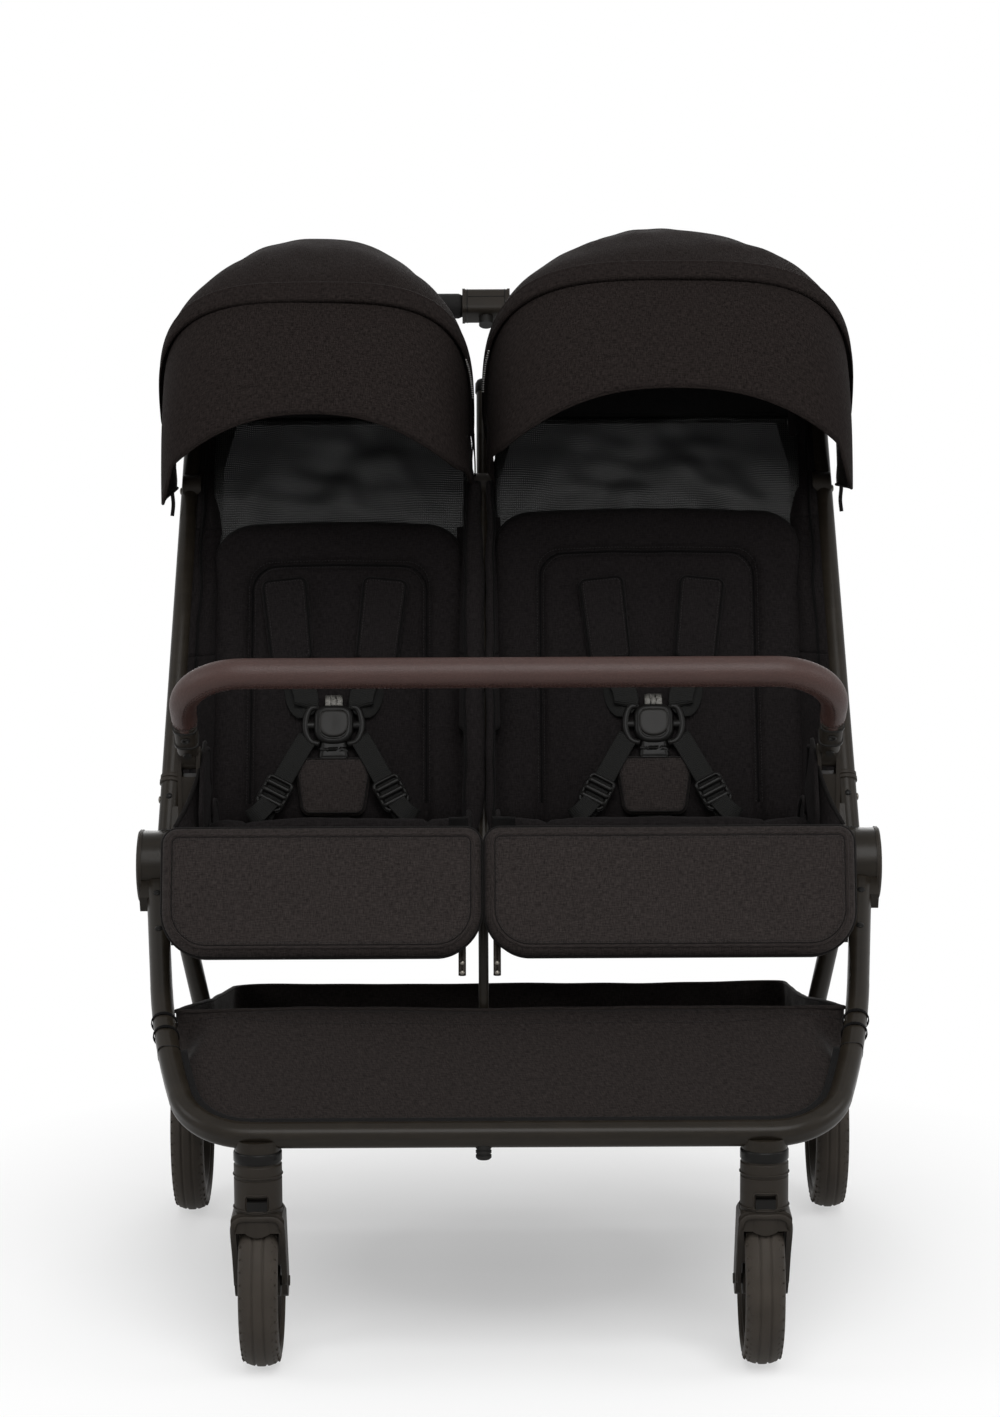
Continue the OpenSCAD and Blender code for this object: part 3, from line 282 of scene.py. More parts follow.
finish = {
    "canopy": clothPaint("canopyCloth", (0.0122, 0.0096, 0.0089), contrast=0.55, sheen=0.0, gloss=0.03),
    "leg": clothPaint("legRestCloth", (0.0195, 0.0160, 0.0150)),
    # the seat cloth is the canopy's fabric made darker: painted shade from the canopy over the seats
    "seat": clothPaint("seatClothPaintedShade", (0.0084, 0.0072, 0.0073), contrast=0.45, sheen=0.01, gloss=0.04),
    "basket": clothPaint("basketCloth", (0.0160, 0.0131, 0.0122)),
    "lining": clothPaint("liningCloth", (0.0075, 0.0072, 0.0072), thread=0.0008, contrast=0.25),
    # near-black cloth; laid in the back panel's groove it is painted shade
    "shade": clothPaint("seamShade", (0.0026, 0.0024, 0.0024), thread=0.0009, slub=0.003, contrast=0.3),
    "binding": clothPaint("bindingTape", (0.0075, 0.0068, 0.0066), thread=0.0009, slub=0.003, contrast=0.3),
    "mesh": meshPaint("sheerMesh", (0.0125, 0.0128, 0.0122)),
    "web": webPaint("strapWebbing", (0.0060, 0.0060, 0.0056)),
    "tube": tubePaint("satinTube", (0.0135, 0.0108, 0.0078)),
    "plastic": plasticPaint("mouldedPlastic", (0.0180, 0.0148, 0.0116)),
    "gloss": plasticPaint("glossPlastic", (0.0075, 0.0072, 0.0068), rough=0.3, grain=500, gloss=0.08),
    "grey": plasticPaint("greyPlastic", (0.13, 0.125, 0.115), rough=0.42),
    "button": plasticPaint("buttonPlastic", (0.0115, 0.0108, 0.0098), rough=0.42),
    "leather": leatherPaint("brownLeatherette", (0.0405, 0.0192, 0.0156)),
    "leatherThread": plasticPaint("leatherThread", (0.034, 0.019, 0.0165), rough=0.6),
    "tyre": rubberPaint("tyreRubber", (0.034, 0.0285, 0.0232)),
    "rubber": rubberPaint("blackRubber", (0.011, 0.0105, 0.01)),
    "foam": rubberPaint("gripFoam", (0.011, 0.0105, 0.0102), rough=0.75, grain=900, relief=0.0004),
    # zip teeth made pale grey: painted highlight for the zip's glints
    "zip": plasticPaint("zipTeethPaintedGlint", (0.30, 0.29, 0.28), rough=0.4),
    "steel": steelPaint("zincSteel", (0.42, 0.42, 0.43)),
    "trimMetal": steelPaint("darkMetal", (0.12, 0.11, 0.095), rough=0.34),
    "thread": plasticPaint("sewingThread", (0.0155, 0.0142, 0.014), rough=0.6),
}
print("finishes:", len(finish))

# the solids that stay in sight take their finish by name; a star stands for left and right
wear = {
    "tube": ["front_frame", "seat_frame", "centre_strut", "handlebar", "centre_post", "recline_bar", "rear_leg_*",
             "push_tube_*"],
    "plastic": ["hub_cover_*", "castor_housing_*", "fork_*", "canopy_clips", "brake_pedal", "bumper_brackets",
                "bumper_bar", "front_rim_*", "rear_rim_*"],
    "button": ["fold_button", "bumper_button_*"], "gloss": ["castor_lock_*"], "rubber": ["frame_foot"],
    "steel": ["rear_axle"],
}
sides = {"left": -1, "right": 1}
for look, names in wear.items():
    for name in {name.replace("*", side) for name in names for side in sides}:
        cadNodes[name].data.materials.clear()
        cadNodes[name].data.materials.append(finish[look])


# places in millimetres: frames that lean about the X axis, as the seat back or the push tubes do
def leaning(origin, tilt):
    c, s = cos(radians(tilt)), sin(radians(tilt))

    def at(x, along, out=0.0):
        x, along, out = np.broadcast_arrays(np.asarray(x, float), np.asarray(along, float), np.asarray(out, float))
        return np.stack([origin[0] + x, origin[1] + along * c - out * s, origin[2] + along * s + out * c], -1)
    return at


def faceOf(at):
    return at(0, 0, 1) - at(0, 0, 0)


hubZ, backY, backZ = 425, 75, 440
lean = {"back": 65, "push": 54.5, "loop": degrees(atan(187 / 372)), "bumper": degrees(atan2(102, 112))}
onBack = leaning((0, backY, backZ), lean["back"])
onPush = leaning((0, 0, hubZ), lean["push"])
onLoop = leaning((0, 0, hubZ), lean["loop"])
onLeg = leaning((0, -197, 478), 70)
onSeat = leaning((0, backY, backZ), -11.5)
onBumper = leaning((0, -118, 558), -lean["bumper"])
seats = {"left": {"back": (-302, -69), "pad": (-316, -46), "padTop": 349, "tub": (-303.5, -43), "leg": (-340, -27.6),
                  "canopy": (-368.5, -36.5), "rise": 0.0, "ease": 0.0},
         "right": {"back": (8, 302), "pad": (-15, 317), "padTop": 363, "tub": (-9, 303.5), "leg": (-24.4, 338),
                   "canopy": (-24.5, 368.5), "rise": 8.5, "ease": 5.0}}


# smooth seeded unevenness: a few crossing waves, about 1 either way
def uneven(x, y, size, seed):
    waves = 14
    rng = np.random.RandomState(seed)
    total = np.zeros(np.broadcast(x, y).shape)
    for _ in range(waves):
        angle, phase = rng.uniform(0, 2 * pi, 2)
        k = 2 * pi / (size * rng.uniform(0.7, 1.6))
        total = total + np.sin(k * (np.cos(angle) * x + np.sin(angle) * y) + phase)
    return total / sqrt(waves)


def smoothStep(x, low, high):
    t = np.clip((x - low) / (high - low), 0, 1)
    return t * t * (3 - 2 * t)


def around(n):
    return np.linspace(0, 2 * pi, n, endpoint=False)


# takes the zigzag out of a run, ends held
def eased(values, times):
    for _ in range(times):
        values[1:-1] = values[1:-1] * 0.5 + (values[:-2] + values[2:]) * 0.25
    return values


def linked(name, data, paint=None):
    obj = bpy.data.objects.new(name, data)
    studio.collection.objects.link(obj)
    if paint:
        data.materials.append(finish[paint])
    return obj


def baked(obj):
    return bpy.data.meshes.new_from_object(obj.evaluated_get(bpy.context.evaluated_depsgraph_get()))


# a wall on one side of a sheet, outwards if thick is above 0
def thicken(obj, thick, even=True):
    wall = obj.modifiers.new("wall", "SOLIDIFY")
    wall.thickness = abs(thick) * mm
    wall.offset = 1 if thick > 0 else -1
    wall.use_even_offset = even
    old, mesh = obj.data, baked(obj)
    obj.modifiers.clear()
    obj.data = mesh
    bpy.data.meshes.remove(old)


# changes a mesh, then turns its faces outwards
def outward(mesh, change=None):
    bm = bmesh.new()
    bm.from_mesh(mesh)
    if change:
        change(bm)
    bmesh.ops.recalc_face_normals(bm, faces=bm.faces)
    bm.to_mesh(mesh)
    bm.free()


def meshed(name, verts, faces, uv):
    mesh = bpy.data.meshes.new(name)
    mesh.from_pydata(verts, [], faces)
    mesh.uv_layers.new(name="UVMap").data.foreach_set("uv", uv.astype(np.float32).ravel())
    mesh.polygons.foreach_set("use_smooth", [True] * len(mesh.polygons))
    mesh.update()
    return mesh


def runLengths(grid, axis, wrap):
    if wrap:
        grid = np.concatenate([grid, grid[:, :1]], 1)
    step = np.linalg.norm(np.diff(grid, axis=axis), axis=2)
    zero = np.zeros_like(np.take(step, [0], axis))
    return np.concatenate([zero, np.cumsum(step, axis)], axis)


# a mesh from a grid of points in millimetres, with a UV map in metres
def gridPiece(name, grid, paint, wrap=False, caps=False, thick=0.0, uv=None):
    grid = np.asarray(grid, float)
    rows, cols = grid.shape[:2]
    if uv is None:
        u = runLengths(grid, 1, wrap)
        v = runLengths(grid, 0, wrap)
        u = u - u[:, u.shape[1] // 2][:, None]
        uv = np.stack([u, v], -1) * mm
    span = cols if wrap else cols - 1
    i, j = np.meshgrid(np.arange(rows - 1), np.arange(span), indexing="ij")
    i, j = i.ravel(), j.ravel()
    k = (j + 1) % cols
    faces = np.stack([i * cols + j, i * cols + k, (i + 1) * cols + k, (i + 1) * cols + j], 1).tolist()
    corners = np.stack([uv[i, j], uv[i, j + 1], uv[i + 1, j + 1], uv[i + 1, j]], 1).reshape(-1, 2)
    verts = (grid.reshape(-1, 3) * mm).tolist()
    if caps:
        extra = []
        for row in (0, rows - 1):
            centre = len(verts)
            verts.append((grid[row].mean(0) * mm).tolist())
            for a in range(cols):
                faces.append([centre, row * cols + a, row * cols + (a + 1) % cols])
                extra += [uv[row, a], uv[row, a], uv[row, min(a + 1, uv.shape[1] - 1)]]
        corners = np.concatenate([corners, extra])
    mesh = meshed(name, verts, faces, corners)
    obj = linked(name, mesh, paint)
    if caps:
        outward(mesh)
    if thick:
        thicken(obj, thick)
    return obj


def joined(name, parts):
    bm = bmesh.new()
    mesh = bpy.data.meshes.new(name)
    obj = linked(name, mesh)
    for part in parts:
        old, shift = part.data, len(mesh.materials)
        for paint in old.materials:
            mesh.materials.append(paint)
        for poly in old.polygons:
            poly.material_index += shift
        bm.from_mesh(old)
        bpy.data.objects.remove(part)
        bpy.data.meshes.remove(old)
    bm.to_mesh(mesh)
    bm.free()
    return obj


def runOf(path):
    return np.concatenate([[0], np.cumsum(np.linalg.norm(np.diff(path, axis=0), axis=1))])


def resample(path, count):
    path = np.asarray(path, float)
    run = runOf(path)
    at = np.linspace(0, run[-1], count)
    return np.stack([np.interp(at, run, column) for column in path.T], 1)


def evenly(path, step, closed=False):
    path = np.asarray(path, float)
    if closed:
        path = np.concatenate([path, path[:1]])
    out = resample(path, max(3, int(round(runOf(path)[-1] / step)) + 1))
    return out[:-1] if closed else out


# evenly spaced points on a smooth run through the given ones
def smoothPath(points, step=4.0):
    p = np.asarray(points, float)
    p = np.concatenate([[2 * p[0] - p[1]], p, [2 * p[-1] - p[-2]]])
    t = np.linspace(0, 1, 14, endpoint=False)[:, None]
    out = [0.5 * (2 * b + (c - a) * t + (2 * a - 5 * b + 4 * c - d) * t ** 2 + (3 * b - a - 3 * c + d) * t ** 3)
           for a, b, c, d in zip(p, p[1:], p[2:], p[3:])]
    return evenly(np.concatenate(out + [p[-2:-1]]), step)


def roundSection(r, n=8):
    return np.stack([np.cos(around(n)) * r, np.sin(around(n)) * r], 1)


def strapSection(w, t):
    edge = [(cos(a), sin(a)) for a in np.linspace(-pi / 2, pi / 2, 4)]
    right = [(w / 2 - t / 2 + x * t / 2, y * t / 2) for x, y in edge]
    flat = [(x, t / 2) for x in np.linspace(w / 2 - t, -w / 2 + t, 5)]
    half = np.array(right + flat)
    return np.concatenate([half, -half])


cornerTurns = ((1, 1, 0), (-1, 1, 90), (-1, -1, 180), (1, -1, 270))


def boxSection(wide, tall, r):
    return np.array([(sx * (wide / 2 - r) + r * cos(a), sy * (tall / 2 - r) + r * sin(a))
                     for sx, sy, a0 in cornerTurns for a in np.radians(np.linspace(a0, a0 + 90, 6))])


# sweeps a section along a path; a number is a round cord and a pair a flat strap, and facing is the direction of the
# section's second axis
def sweepPiece(name, path, section, paint, facing=None, closed=False, scale=None):
    if np.isscalar(section):
        section = roundSection(section)
    elif isinstance(section, tuple):
        section = strapSection(*section)
    path = np.asarray(path, float)
    tangent = np.roll(path, -1, 0) - np.roll(path, 1, 0) if closed else np.gradient(path, axis=0)
    tangent /= np.linalg.norm(tangent, axis=1)[:, None]
    if facing is None:
        facing = (0, 0, 1) if abs(tangent[0][2]) < 0.9 else (0, 1, 0)
    facing = np.asarray(facing, float)
    ups = np.zeros_like(path)
    last = facing if facing.ndim == 1 else facing[0]
    for k in range(len(path)):
        want = last if facing.ndim == 1 else facing[k]
        up = want - tangent[k] * want.dot(tangent[k])
        last = ups[k] = up / np.linalg.norm(up)
    size = np.ones(len(path)) if scale is None else np.asarray(scale, float)
    outline = np.cross(tangent, ups)[:, None] * section[None, :, :1] + ups[:, None] * section[None, :, 1:]
    grid = path[:, None] + outline * size[:, None, None]
    if not closed:
        return gridPiece(name, grid, paint, wrap=True, caps=True)
    piece = gridPiece(name, np.concatenate([grid, grid[:1]]), paint, wrap=True)
    outward(piece.data, lambda bm: bmesh.ops.remove_doubles(bm, verts=bm.verts, dist=1e-6))
    return piece


def lathePiece(name, profile, place, axis, paint, n=48):
    axis = np.asarray(axis, float) / np.linalg.norm(axis)
    side = np.cross(axis, (0, 0, 1) if abs(axis[2]) < 0.9 else (0, 1, 0))
    side /= np.linalg.norm(side)
    ring = np.cos(around(n))[:, None] * side + np.sin(around(n))[:, None] * np.cross(axis, side)
    grid = np.array([np.asarray(place, float) + axis * h + ring * r for r, h in profile])
    return gridPiece(name, grid, paint, wrap=True, caps=True)


# geometry nodes from tables of inputs, nodes and links: one small shape set on every point, smoothed and painted
def repeatTree(name, inputs, nodes, links):
    tree = bpy.data.node_groups.new(name, "GeometryNodeTree")
    for socket, kind in [("Geometry", "Geometry")] + inputs + [("Finish", "Material")]:
        tree.interface.new_socket(socket, in_out="INPUT", socket_type="NodeSocket" + kind)
    tree.interface.new_socket("Geometry", in_out="OUTPUT", socket_type="NodeSocketGeometry")
    shared = [("in", "NodeGroupInput", {}), ("put", "GeometryNodeInstanceOnPoints", {}),
              ("real", "GeometryNodeRealizeInstances", {}), ("smooth", "GeometryNodeSetShadeSmooth", {}),
              ("paint", "GeometryNodeSetMaterial", {}), ("out", "NodeGroupOutput", {})]
    made = {}
    for key, kind, settings in shared + nodes:
        made[key] = tree.nodes.new(kind)
        for setting, value in settings.items():
            setattr(made[key], setting, value)
    ending = ["put.Instances > real.Geometry", "real.Geometry > smooth.Geometry", "smooth.Geometry > paint.Geometry",
              "in.Finish > paint.Material", "paint.Geometry > out.Geometry"]
    for line in links + ending:
        (source, output), (target, entry) = [end.split(".") for end in line.split(" > ")]
        tree.links.new(made[source].outputs[output], made[target].inputs[entry])
    return tree, made


# a bead along every run of a curve, sized across, up and along it
alongTree, made = repeatTree(
    "repeatAlong", [("Spacing", "Float"), ("Size", "Vector"), ("Lean", "Float")],
    [("points", "GeometryNodeCurveToPoints", {"mode": "LENGTH"}), ("bead", "GeometryNodeMeshIcoSphere", {}),
     ("lean", "FunctionNodeRotateRotation", {"rotation_space": "LOCAL"}), ("euler", "ShaderNodeCombineXYZ", {})],
    ["in.Geometry > points.Curve", "in.Spacing > points.Length", "in.Lean > euler.Y", "points.Rotation > lean.Rotation",
     "euler.Vector > lean.Rotate By", "points.Points > put.Points", "bead.Mesh > put.Instance",
     "lean.Rotation > put.Rotation", "in.Size > put.Scale"])
made["bead"].inputs["Subdivisions"].default_value = 1

# a domed head on every point, facing along the point's own direction
headTree, made = repeatTree(
    "domedHeads", [("Radius", "Float"), ("Height", "Float")],
    [("dome", "GeometryNodeMeshUVSphere", {}), ("size", "ShaderNodeCombineXYZ", {}),
     ("facing", "GeometryNodeInputNamedAttribute", {"data_type": "FLOAT_VECTOR"}),
     ("turn", "FunctionNodeAlignRotationToVector", {"axis": "Z"})],
    ["in.Geometry > put.Points", "dome.Mesh > put.Instance", "facing.Attribute > turn.Vector",
     "turn.Rotation > put.Rotation", "in.Radius > size.X", "in.Radius > size.Y", "in.Height > size.Z",
     "size.Vector > put.Scale"])
for socket, value in (("Segments", 20), ("Rings", 10), ("Radius", 1)):
    made["dome"].inputs[socket].default_value = value
made["facing"].inputs["Name"].default_value = "facing"


def grown(obj, tree, name, inputs):
    grow = obj.modifiers.new("grow", "NODES")
    grow.node_group = tree
    for item in tree.interface.items_tree:
        if item.in_out == "INPUT" and item.name in inputs:
            grow[item.identifier] = inputs[item.name]
    mesh = baked(obj)
    mesh.name = name
    bpy.data.objects.remove(obj)
    return linked(name, mesh)


# rows of beads, a row of stitches unless told otherwise
def beadRows(name, rows, spacing=3.4, size=(0.4, 0.3, 1.35), paint="thread", lean=0.0, cyclic=False):
    curve = bpy.data.curves.new(name + "Run", "CURVE")
    curve.dimensions = "3D"
    for row in rows:
        spline = curve.splines.new("POLY")
        spline.points.add(len(row) - 1)
        for point, at in zip(spline.points, np.asarray(row) * mm):
            point.co = (*at, 1)
        spline.use_cyclic_u = cyclic
    return grown(linked(name + "Run", curve), alongTree, name,
                 {"Spacing": spacing * mm, "Size": [s * mm for s in size], "Lean": lean, "Finish": finish[paint]})


def domedHeads(name, places, facing, radius, height, paint):
    mesh = bpy.data.meshes.new(name + "Points")
    mesh.from_pydata([tuple(np.asarray(p) * mm) for p in places], [], [])
    turned = mesh.attributes.new("facing", "FLOAT_VECTOR", "POINT")
    turned.data.foreach_set("vector", np.asarray(facing, np.float32).ravel())
    return grown(linked(name + "Points", mesh), headTree, name,
                 {"Radius": radius * mm, "Height": height * mm, "Finish": finish[paint]})


# pads: a grid of rounded rectangles one inside the other, front and back sharing the outline
def axisSteps(half, step):
    fine = [0, 0.6, 1.6, 3.0, 4.8, 7.2, 10.2, 13.5]
    inner = np.linspace(13.5, half, max(2, int(ceil((half - 13.5) / step)) + 1))[1:]
    edge = np.concatenate([fine, inner])
    return np.concatenate([-(half - edge), (half - edge)[::-1][1:]])


def padGrid(w, h, top, low, step):
    x, y = np.meshgrid(axisSteps(w / 2, step), axisSteps(h / 2, step))
    inset = np.minimum(w / 2 - np.abs(x), h / 2 - np.abs(y))
    r = np.maximum(np.where(y > 0, top, low) - inset, 0)
    cx, cy = w / 2 - inset - r, h / 2 - inset - r
    qx, qy = np.abs(x) - cx, np.abs(y) - cy
    corner = (qx > 0) & (qy > 0) & (r > 0)
    pull = np.where(corner, r / np.maximum(np.hypot(qx, qy), 1e-9), 1)
    return np.sign(x) * (cx + qx * pull), np.sign(y) * (cy + qy * pull), inset


def padOutline(w, h, top, low, inset, step=3.0):
    hw, hh = w / 2 - inset, h / 2 - inset
    pts = []
    for sx, sy, a0 in cornerTurns:
        r = max((top if sy > 0 else low) - inset, 1)
        for a in np.linspace(a0, a0 + 90, 14):
            pts.append((sx * (hw - r) + r * cos(radians(a)), sy * (hh - r) + r * sin(radians(a)), 0))
    return evenly(pts, step, True)


def rollOver(inset, reach):
    return np.sqrt(np.clip(1 - (1 - np.clip(inset / reach, 0, 1)) ** 2, 0, 1))


# front height of a pad: rolled edge, full between its seams, pinched at them
def padHeight(x, y, inset, spec, seams):
    t, edge, seed = spec["t"], spec.get("edge", 0.4), spec.get("seed", 1)
    z = t * (edge + (1 - edge) * rollOver(inset, spec.get("roll", 16)))
    near = np.full(x.shape, 1e6)
    for seam in seams:
        near = np.minimum(near, np.abs(seam(x, y)))
    if seams:
        full = 1 - np.exp(-near / spec.get("fullness", 26))
        pinch = np.exp(-(near / spec.get("pinch", 3.4)) ** 2)
        z = z + spec.get("puff", 3.0) * (full - 0.75) - spec.get("depth", 4.0) * pinch
        z = z + 0.5 * np.exp(-near / 7) * np.sin((x + y) / 1.35 + 2.5 * uneven(x, y, 60, 5)) * (1 - pinch)
    return z + smoothStep(inset, 0, 14) * (spec.get("lump", 0.7) * uneven(x, y, 70, seed)
                                           + 0.3 * uneven(x, y * 0.4, 22, seed + 3))


# where a pad's own x and y lie once it is tapered, arched, turned and put in its place
def padPlace(spec, x, y):
    px = x * (1 + spec.get("taper", 0.0) * y / spec["h"])
    turn = radians(spec.get("turn", 0.0))
    bowed = spec.get("arch", 0.0) * (1 - (2 * x / spec["w"]) ** 2) * smoothStep(y, 0, spec["h"] / 2)
    gx = spec["at"][0] + px * cos(turn) - y * sin(turn)
    return px, gx, spec["at"][1] + px * sin(turn) + y * cos(turn) + bowed


def padPiece(name, spec, at, paint, seams=()):
    x, y, inset = padGrid(spec["w"], spec["h"], spec["top"], spec["low"], spec.get("step", 3.2))
    px, gx, gy = padPlace(spec, x, y)
    front = padHeight(x, y, inset, spec, seams) + spec.get("lift", 0)
    back = spec["t"] * spec.get("edge", 0.4) * (1 - rollOver(inset, spec.get("roll", 16))) + spec.get("lift", 0)
    verts = np.concatenate([at(gx, gy, out).reshape(-1, 3) for out in (front, back)]) * mm
    index = np.arange(x.size).reshape(x.shape)
    rim = np.ones(x.shape, bool)
    rim[1:-1, 1:-1] = False
    under = np.where(rim, index, index + x.size)
    top = np.stack([index[:-1, :-1], index[:-1, 1:], index[1:, 1:], index[1:, :-1]], -1).reshape(-1, 4)
    low = np.stack([under[:-1, :-1], under[1:, :-1], under[1:, 1:], under[:-1, 1:]], -1).reshape(-1, 4)
    faces = np.concatenate([top, low])
    uv = np.concatenate([np.stack([px, y], -1).reshape(-1, 2)] * 2) * mm
    mesh = meshed(name, verts.tolist(), faces.tolist(), uv[faces.ravel()])
    outward(mesh, lambda bm: bmesh.ops.delete(bm, geom=[v for v in bm.verts if not v.link_faces], context="VERTS"))
    return linked(name, mesh, paint)


# a run on a pad's face at a set inset from its outline, lifted by a little
def padRun(spec, at, inset, lift, seams=(), path=None):
    if path is None:
        path = padOutline(spec["w"], spec["h"], spec["top"], spec["low"], inset)
    x, y = path[:, 0], path[:, 1]
    z = padHeight(x, y, np.full(x.shape, float(inset)), spec, seams) + spec.get("lift", 0) + lift
    return at(*padPlace(spec, x, y)[1:], z)


# turns a sheet's grid into metres and keeps nothing of it
def cloth(grid, rests):
    g = np.asarray(grid, float) * mm


def ride(obj, body, replaces=()):
    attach(obj, body)
    if replaces:
        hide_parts(*replaces)
    return obj


def sheetPiece(name, grid, paint, thick, body, rests, replaces=()):
    piece = ride(gridPiece(name, grid, paint, thick=thick), body, replaces)
    cloth(grid, rests)


# gives a piece of cloth a mesh of its own
def crumple(piece, x, keep):
    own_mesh(piece)


# seat backs: a shaped pad with an inset panel, its piping and stitching, on a covered board
backSpec = {"t": 21.5, "top": 40, "low": 18, "lift": -21.5, "roll": 22, "puff": 6.0, "depth": 8.0, "pinch": 4.2,
            "fullness": 30, "lump": 0.9, "arch": 6, "foot": 14, "foldKeep": 0.88}
panelSpec = {"share": 0.348, "down": 47, "round": 26, "stitch": 3.4}
boardSpec = {"t": 6, "top": 38, "low": 16, "lift": -28, "roll": 3, "lump": 0.25, "seed": 44, "step": 6, "arch": 6,
             "inset": 3.5, "short": 6}
for side, seat in seats.items():
    x0, x1 = seat["pad"]
    body, foot = "seat_back_" + side, backSpec["foot"]
    h = seat["padTop"] - foot
    spec = dict(backSpec, w=x1 - x0, h=h, at=((x0 + x1) / 2, foot + h / 2), seed=3 if side == "left" else 8)
    half, top, r = spec["w"] * panelSpec["share"], h / 2 - panelSpec["down"], panelSpec["round"]

    # distance from the panel's seam, below 0 inside it
    def seam(x, y):
        qx, qy = np.abs(x) - half + r, y - top + r
        return np.minimum(np.maximum(qx, qy), 0) + np.hypot(np.maximum(qx, 0), np.maximum(qy, 0)) - r

    pad = padPiece("backPad_" + side, spec, onBack, "seat", [seam])
    arch = [(half, -h / 2 + 26, 0), (half, top - r, 0)]
    arch += [(half - r + r * cos(a), top - r + r * sin(a), 0) for a in np.linspace(0, pi / 2, 9)[1:]]
    arch += [(-x, y, z) for x, y, z in arch[::-1]]
    onPanel = lambda run, lift: padRun(spec, onBack, 60, lift, [seam], evenly(run, 3.0))
    trims = []
    for shift in (panelSpec["stitch"], -panelSpec["stitch"]):
        grow = [(x - shift * np.sign(x), y - (shift if abs(x) < half - 1 else 0), 0) for x, y, z in arch]
        trims.append(beadRows("backStitch", [onPanel(grow, 0.15)]))
    # the near-black cord laid in the panel's groove is painted shade
    trims += [sweepPiece("panelGroove", onPanel(arch, 0.5), 1.5, "shade"),
              sweepPiece("backPiping", padRun(spec, onBack, 0, 0.0), 1.7, "binding", closed=True)]
    for piece in (pad, joined("backTrim_" + side, trims)):
        crumple(ride(piece, body), spec["at"][0] * mm, spec["foldKeep"])
    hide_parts("back_pad_" + side)
    b0, b1 = seat["back"][0] + boardSpec["inset"], seat["back"][1] - boardSpec["inset"]
    tall = h - boardSpec["short"]
    board = dict(boardSpec, w=b1 - b0, h=tall, at=((b0 + b1) / 2, foot + tall / 2))
    shell = padPiece("backShell_" + side, board, onBack, "lining")
    shellEdge = sweepPiece("shellEdge", padRun(board, onBack, 0, -3.4), 1.5, "binding", closed=True)
    ride(joined("backBoard_" + side, [shell, shellEdge]), body, ["back_board_" + side])
print("seat backs done")

# seat cushions in the tubs, with a seam along either side
cushionSpec = {"h": 228, "t": 15.5, "top": 26, "low": 26, "roll": 14, "lift": 0.2, "puff": 3.0, "depth": 3.0,
               "step": 4.5, "mid": -127.5, "seamShare": 0.36}
for side, seat in seats.items():
    x0, x1 = seat["tub"]
    spec = dict(cushionSpec, w=x1 - x0 - 6, at=((x0 + x1) / 2, cushionSpec["mid"]), seed=12 if side == "left" else 17)
    half = spec["w"] * spec["seamShare"]
    pad = padPiece("seatCushion_" + side, spec, onSeat, "seat", [lambda x, y: np.abs(x) - half])
    ride(pad, "front_frame", ["seat_cushion_" + side])

# leg rests: a soft pad with a piped seam round its face and a roll along its lower edge
legSpec = {"h": 127, "t": 21, "top": 16, "low": 45, "lift": 9.8, "roll": 13, "lump": 0.8, "seam": 8.0, "mid": -43.5}
for side, seat in seats.items():
    x0, x1 = seat["leg"]
    body, seamAt = "leg_rest_" + side, legSpec["seam"]
    spec = dict(legSpec, w=x1 - x0, at=((x0 + x1) / 2, legSpec["mid"]), seed=21 if side == "left" else 27)
    pad = padPiece("legRest_" + side, spec, onLeg, "leg")
    ride(pad, body, ["leg_rest_" + side])
    onFace = lambda inset, lift: padRun(spec, onLeg, inset, lift)
    under = dict(spec, t=12, lift=1.5, w=spec["w"] - 8, h=spec["h"] - 24, low=40, roll=6,
                 at=(spec["at"][0], legSpec["mid"] - 13), seed=62)
    trims = [sweepPiece("legWelt", onFace(seamAt, -0.1), 1.5, "leg", closed=True),
             # the dark cord sunk beside the welt is painted shade in the seam's groove
             sweepPiece("legGroove", onFace(seamAt + 2.4, -0.5), roundSection(0.8, 6), "binding", closed=True),
             beadRows("legStitch", [onFace(seamAt + 4.6, 0.1)], cyclic=True),
             sweepPiece("legPiping", onFace(0, 0.0), 1.8, "binding", closed=True),
             padPiece("legBoxing", under, onLeg, "leg")]
    ride(joined("legTrim_" + side, trims), body)
    # release lever under the inner end of the pad
    x = x1 - 19 if side == "left" else x0 + 12
    run = smoothPath([onLeg(x, v, n) for v, n in ((-88, 4), (-104, 3), (-116, 5), (-124, 8))], 2)
    pins = [onLeg(x, -112, 6.2), onLeg(x, -122, 9.4)]
    grip = [sweepPiece("leverArm", run, (8, 4.5), "plastic", facing=faceOf(onLeg)),
            domedHeads("leverPin", pins, [faceOf(onLeg)] * 2, 2.6, 1.4, "trimMetal")]
    ride(joined("legLever_" + side, grip), body)
print("cushions and leg rests done")

# canopies: bows turn about the clips, cloth spans from foot to foot over an arch
divideX = -26
canopySpec = {"pivotY": 263.06, "pivotZ": 793.79, "radius": 272, "foot": 90, "power": 0.6, "rearPower": 0.95,
              "rear": -19, "bow": 37, "visor": 79, "visorMid": 68, "inset": 4.6, "sag": 5.0, "hold": 34,
              "shoulder": 8.0, "earDrop": 12}
# degrees from the bow and height over it, across the band
bandProfile = ((-3.4, -0.6), (-3.2, 1.4), (-2.7, 2.6), (-2.1, 1.7), (-1.5, 2.2), (-0.4, 2.4), (0.5, 2.2), (1.1, 1.7),
               (1.7, 2.9), (2.3, 1.6), (2.4, -3.4))
meshSpec = {"high": 478, "tuck": 13, "inset": 18, "left": (-318, -40), "right": (-13, 318), "border": 12, "out": -8,
            "blendTop": 465}


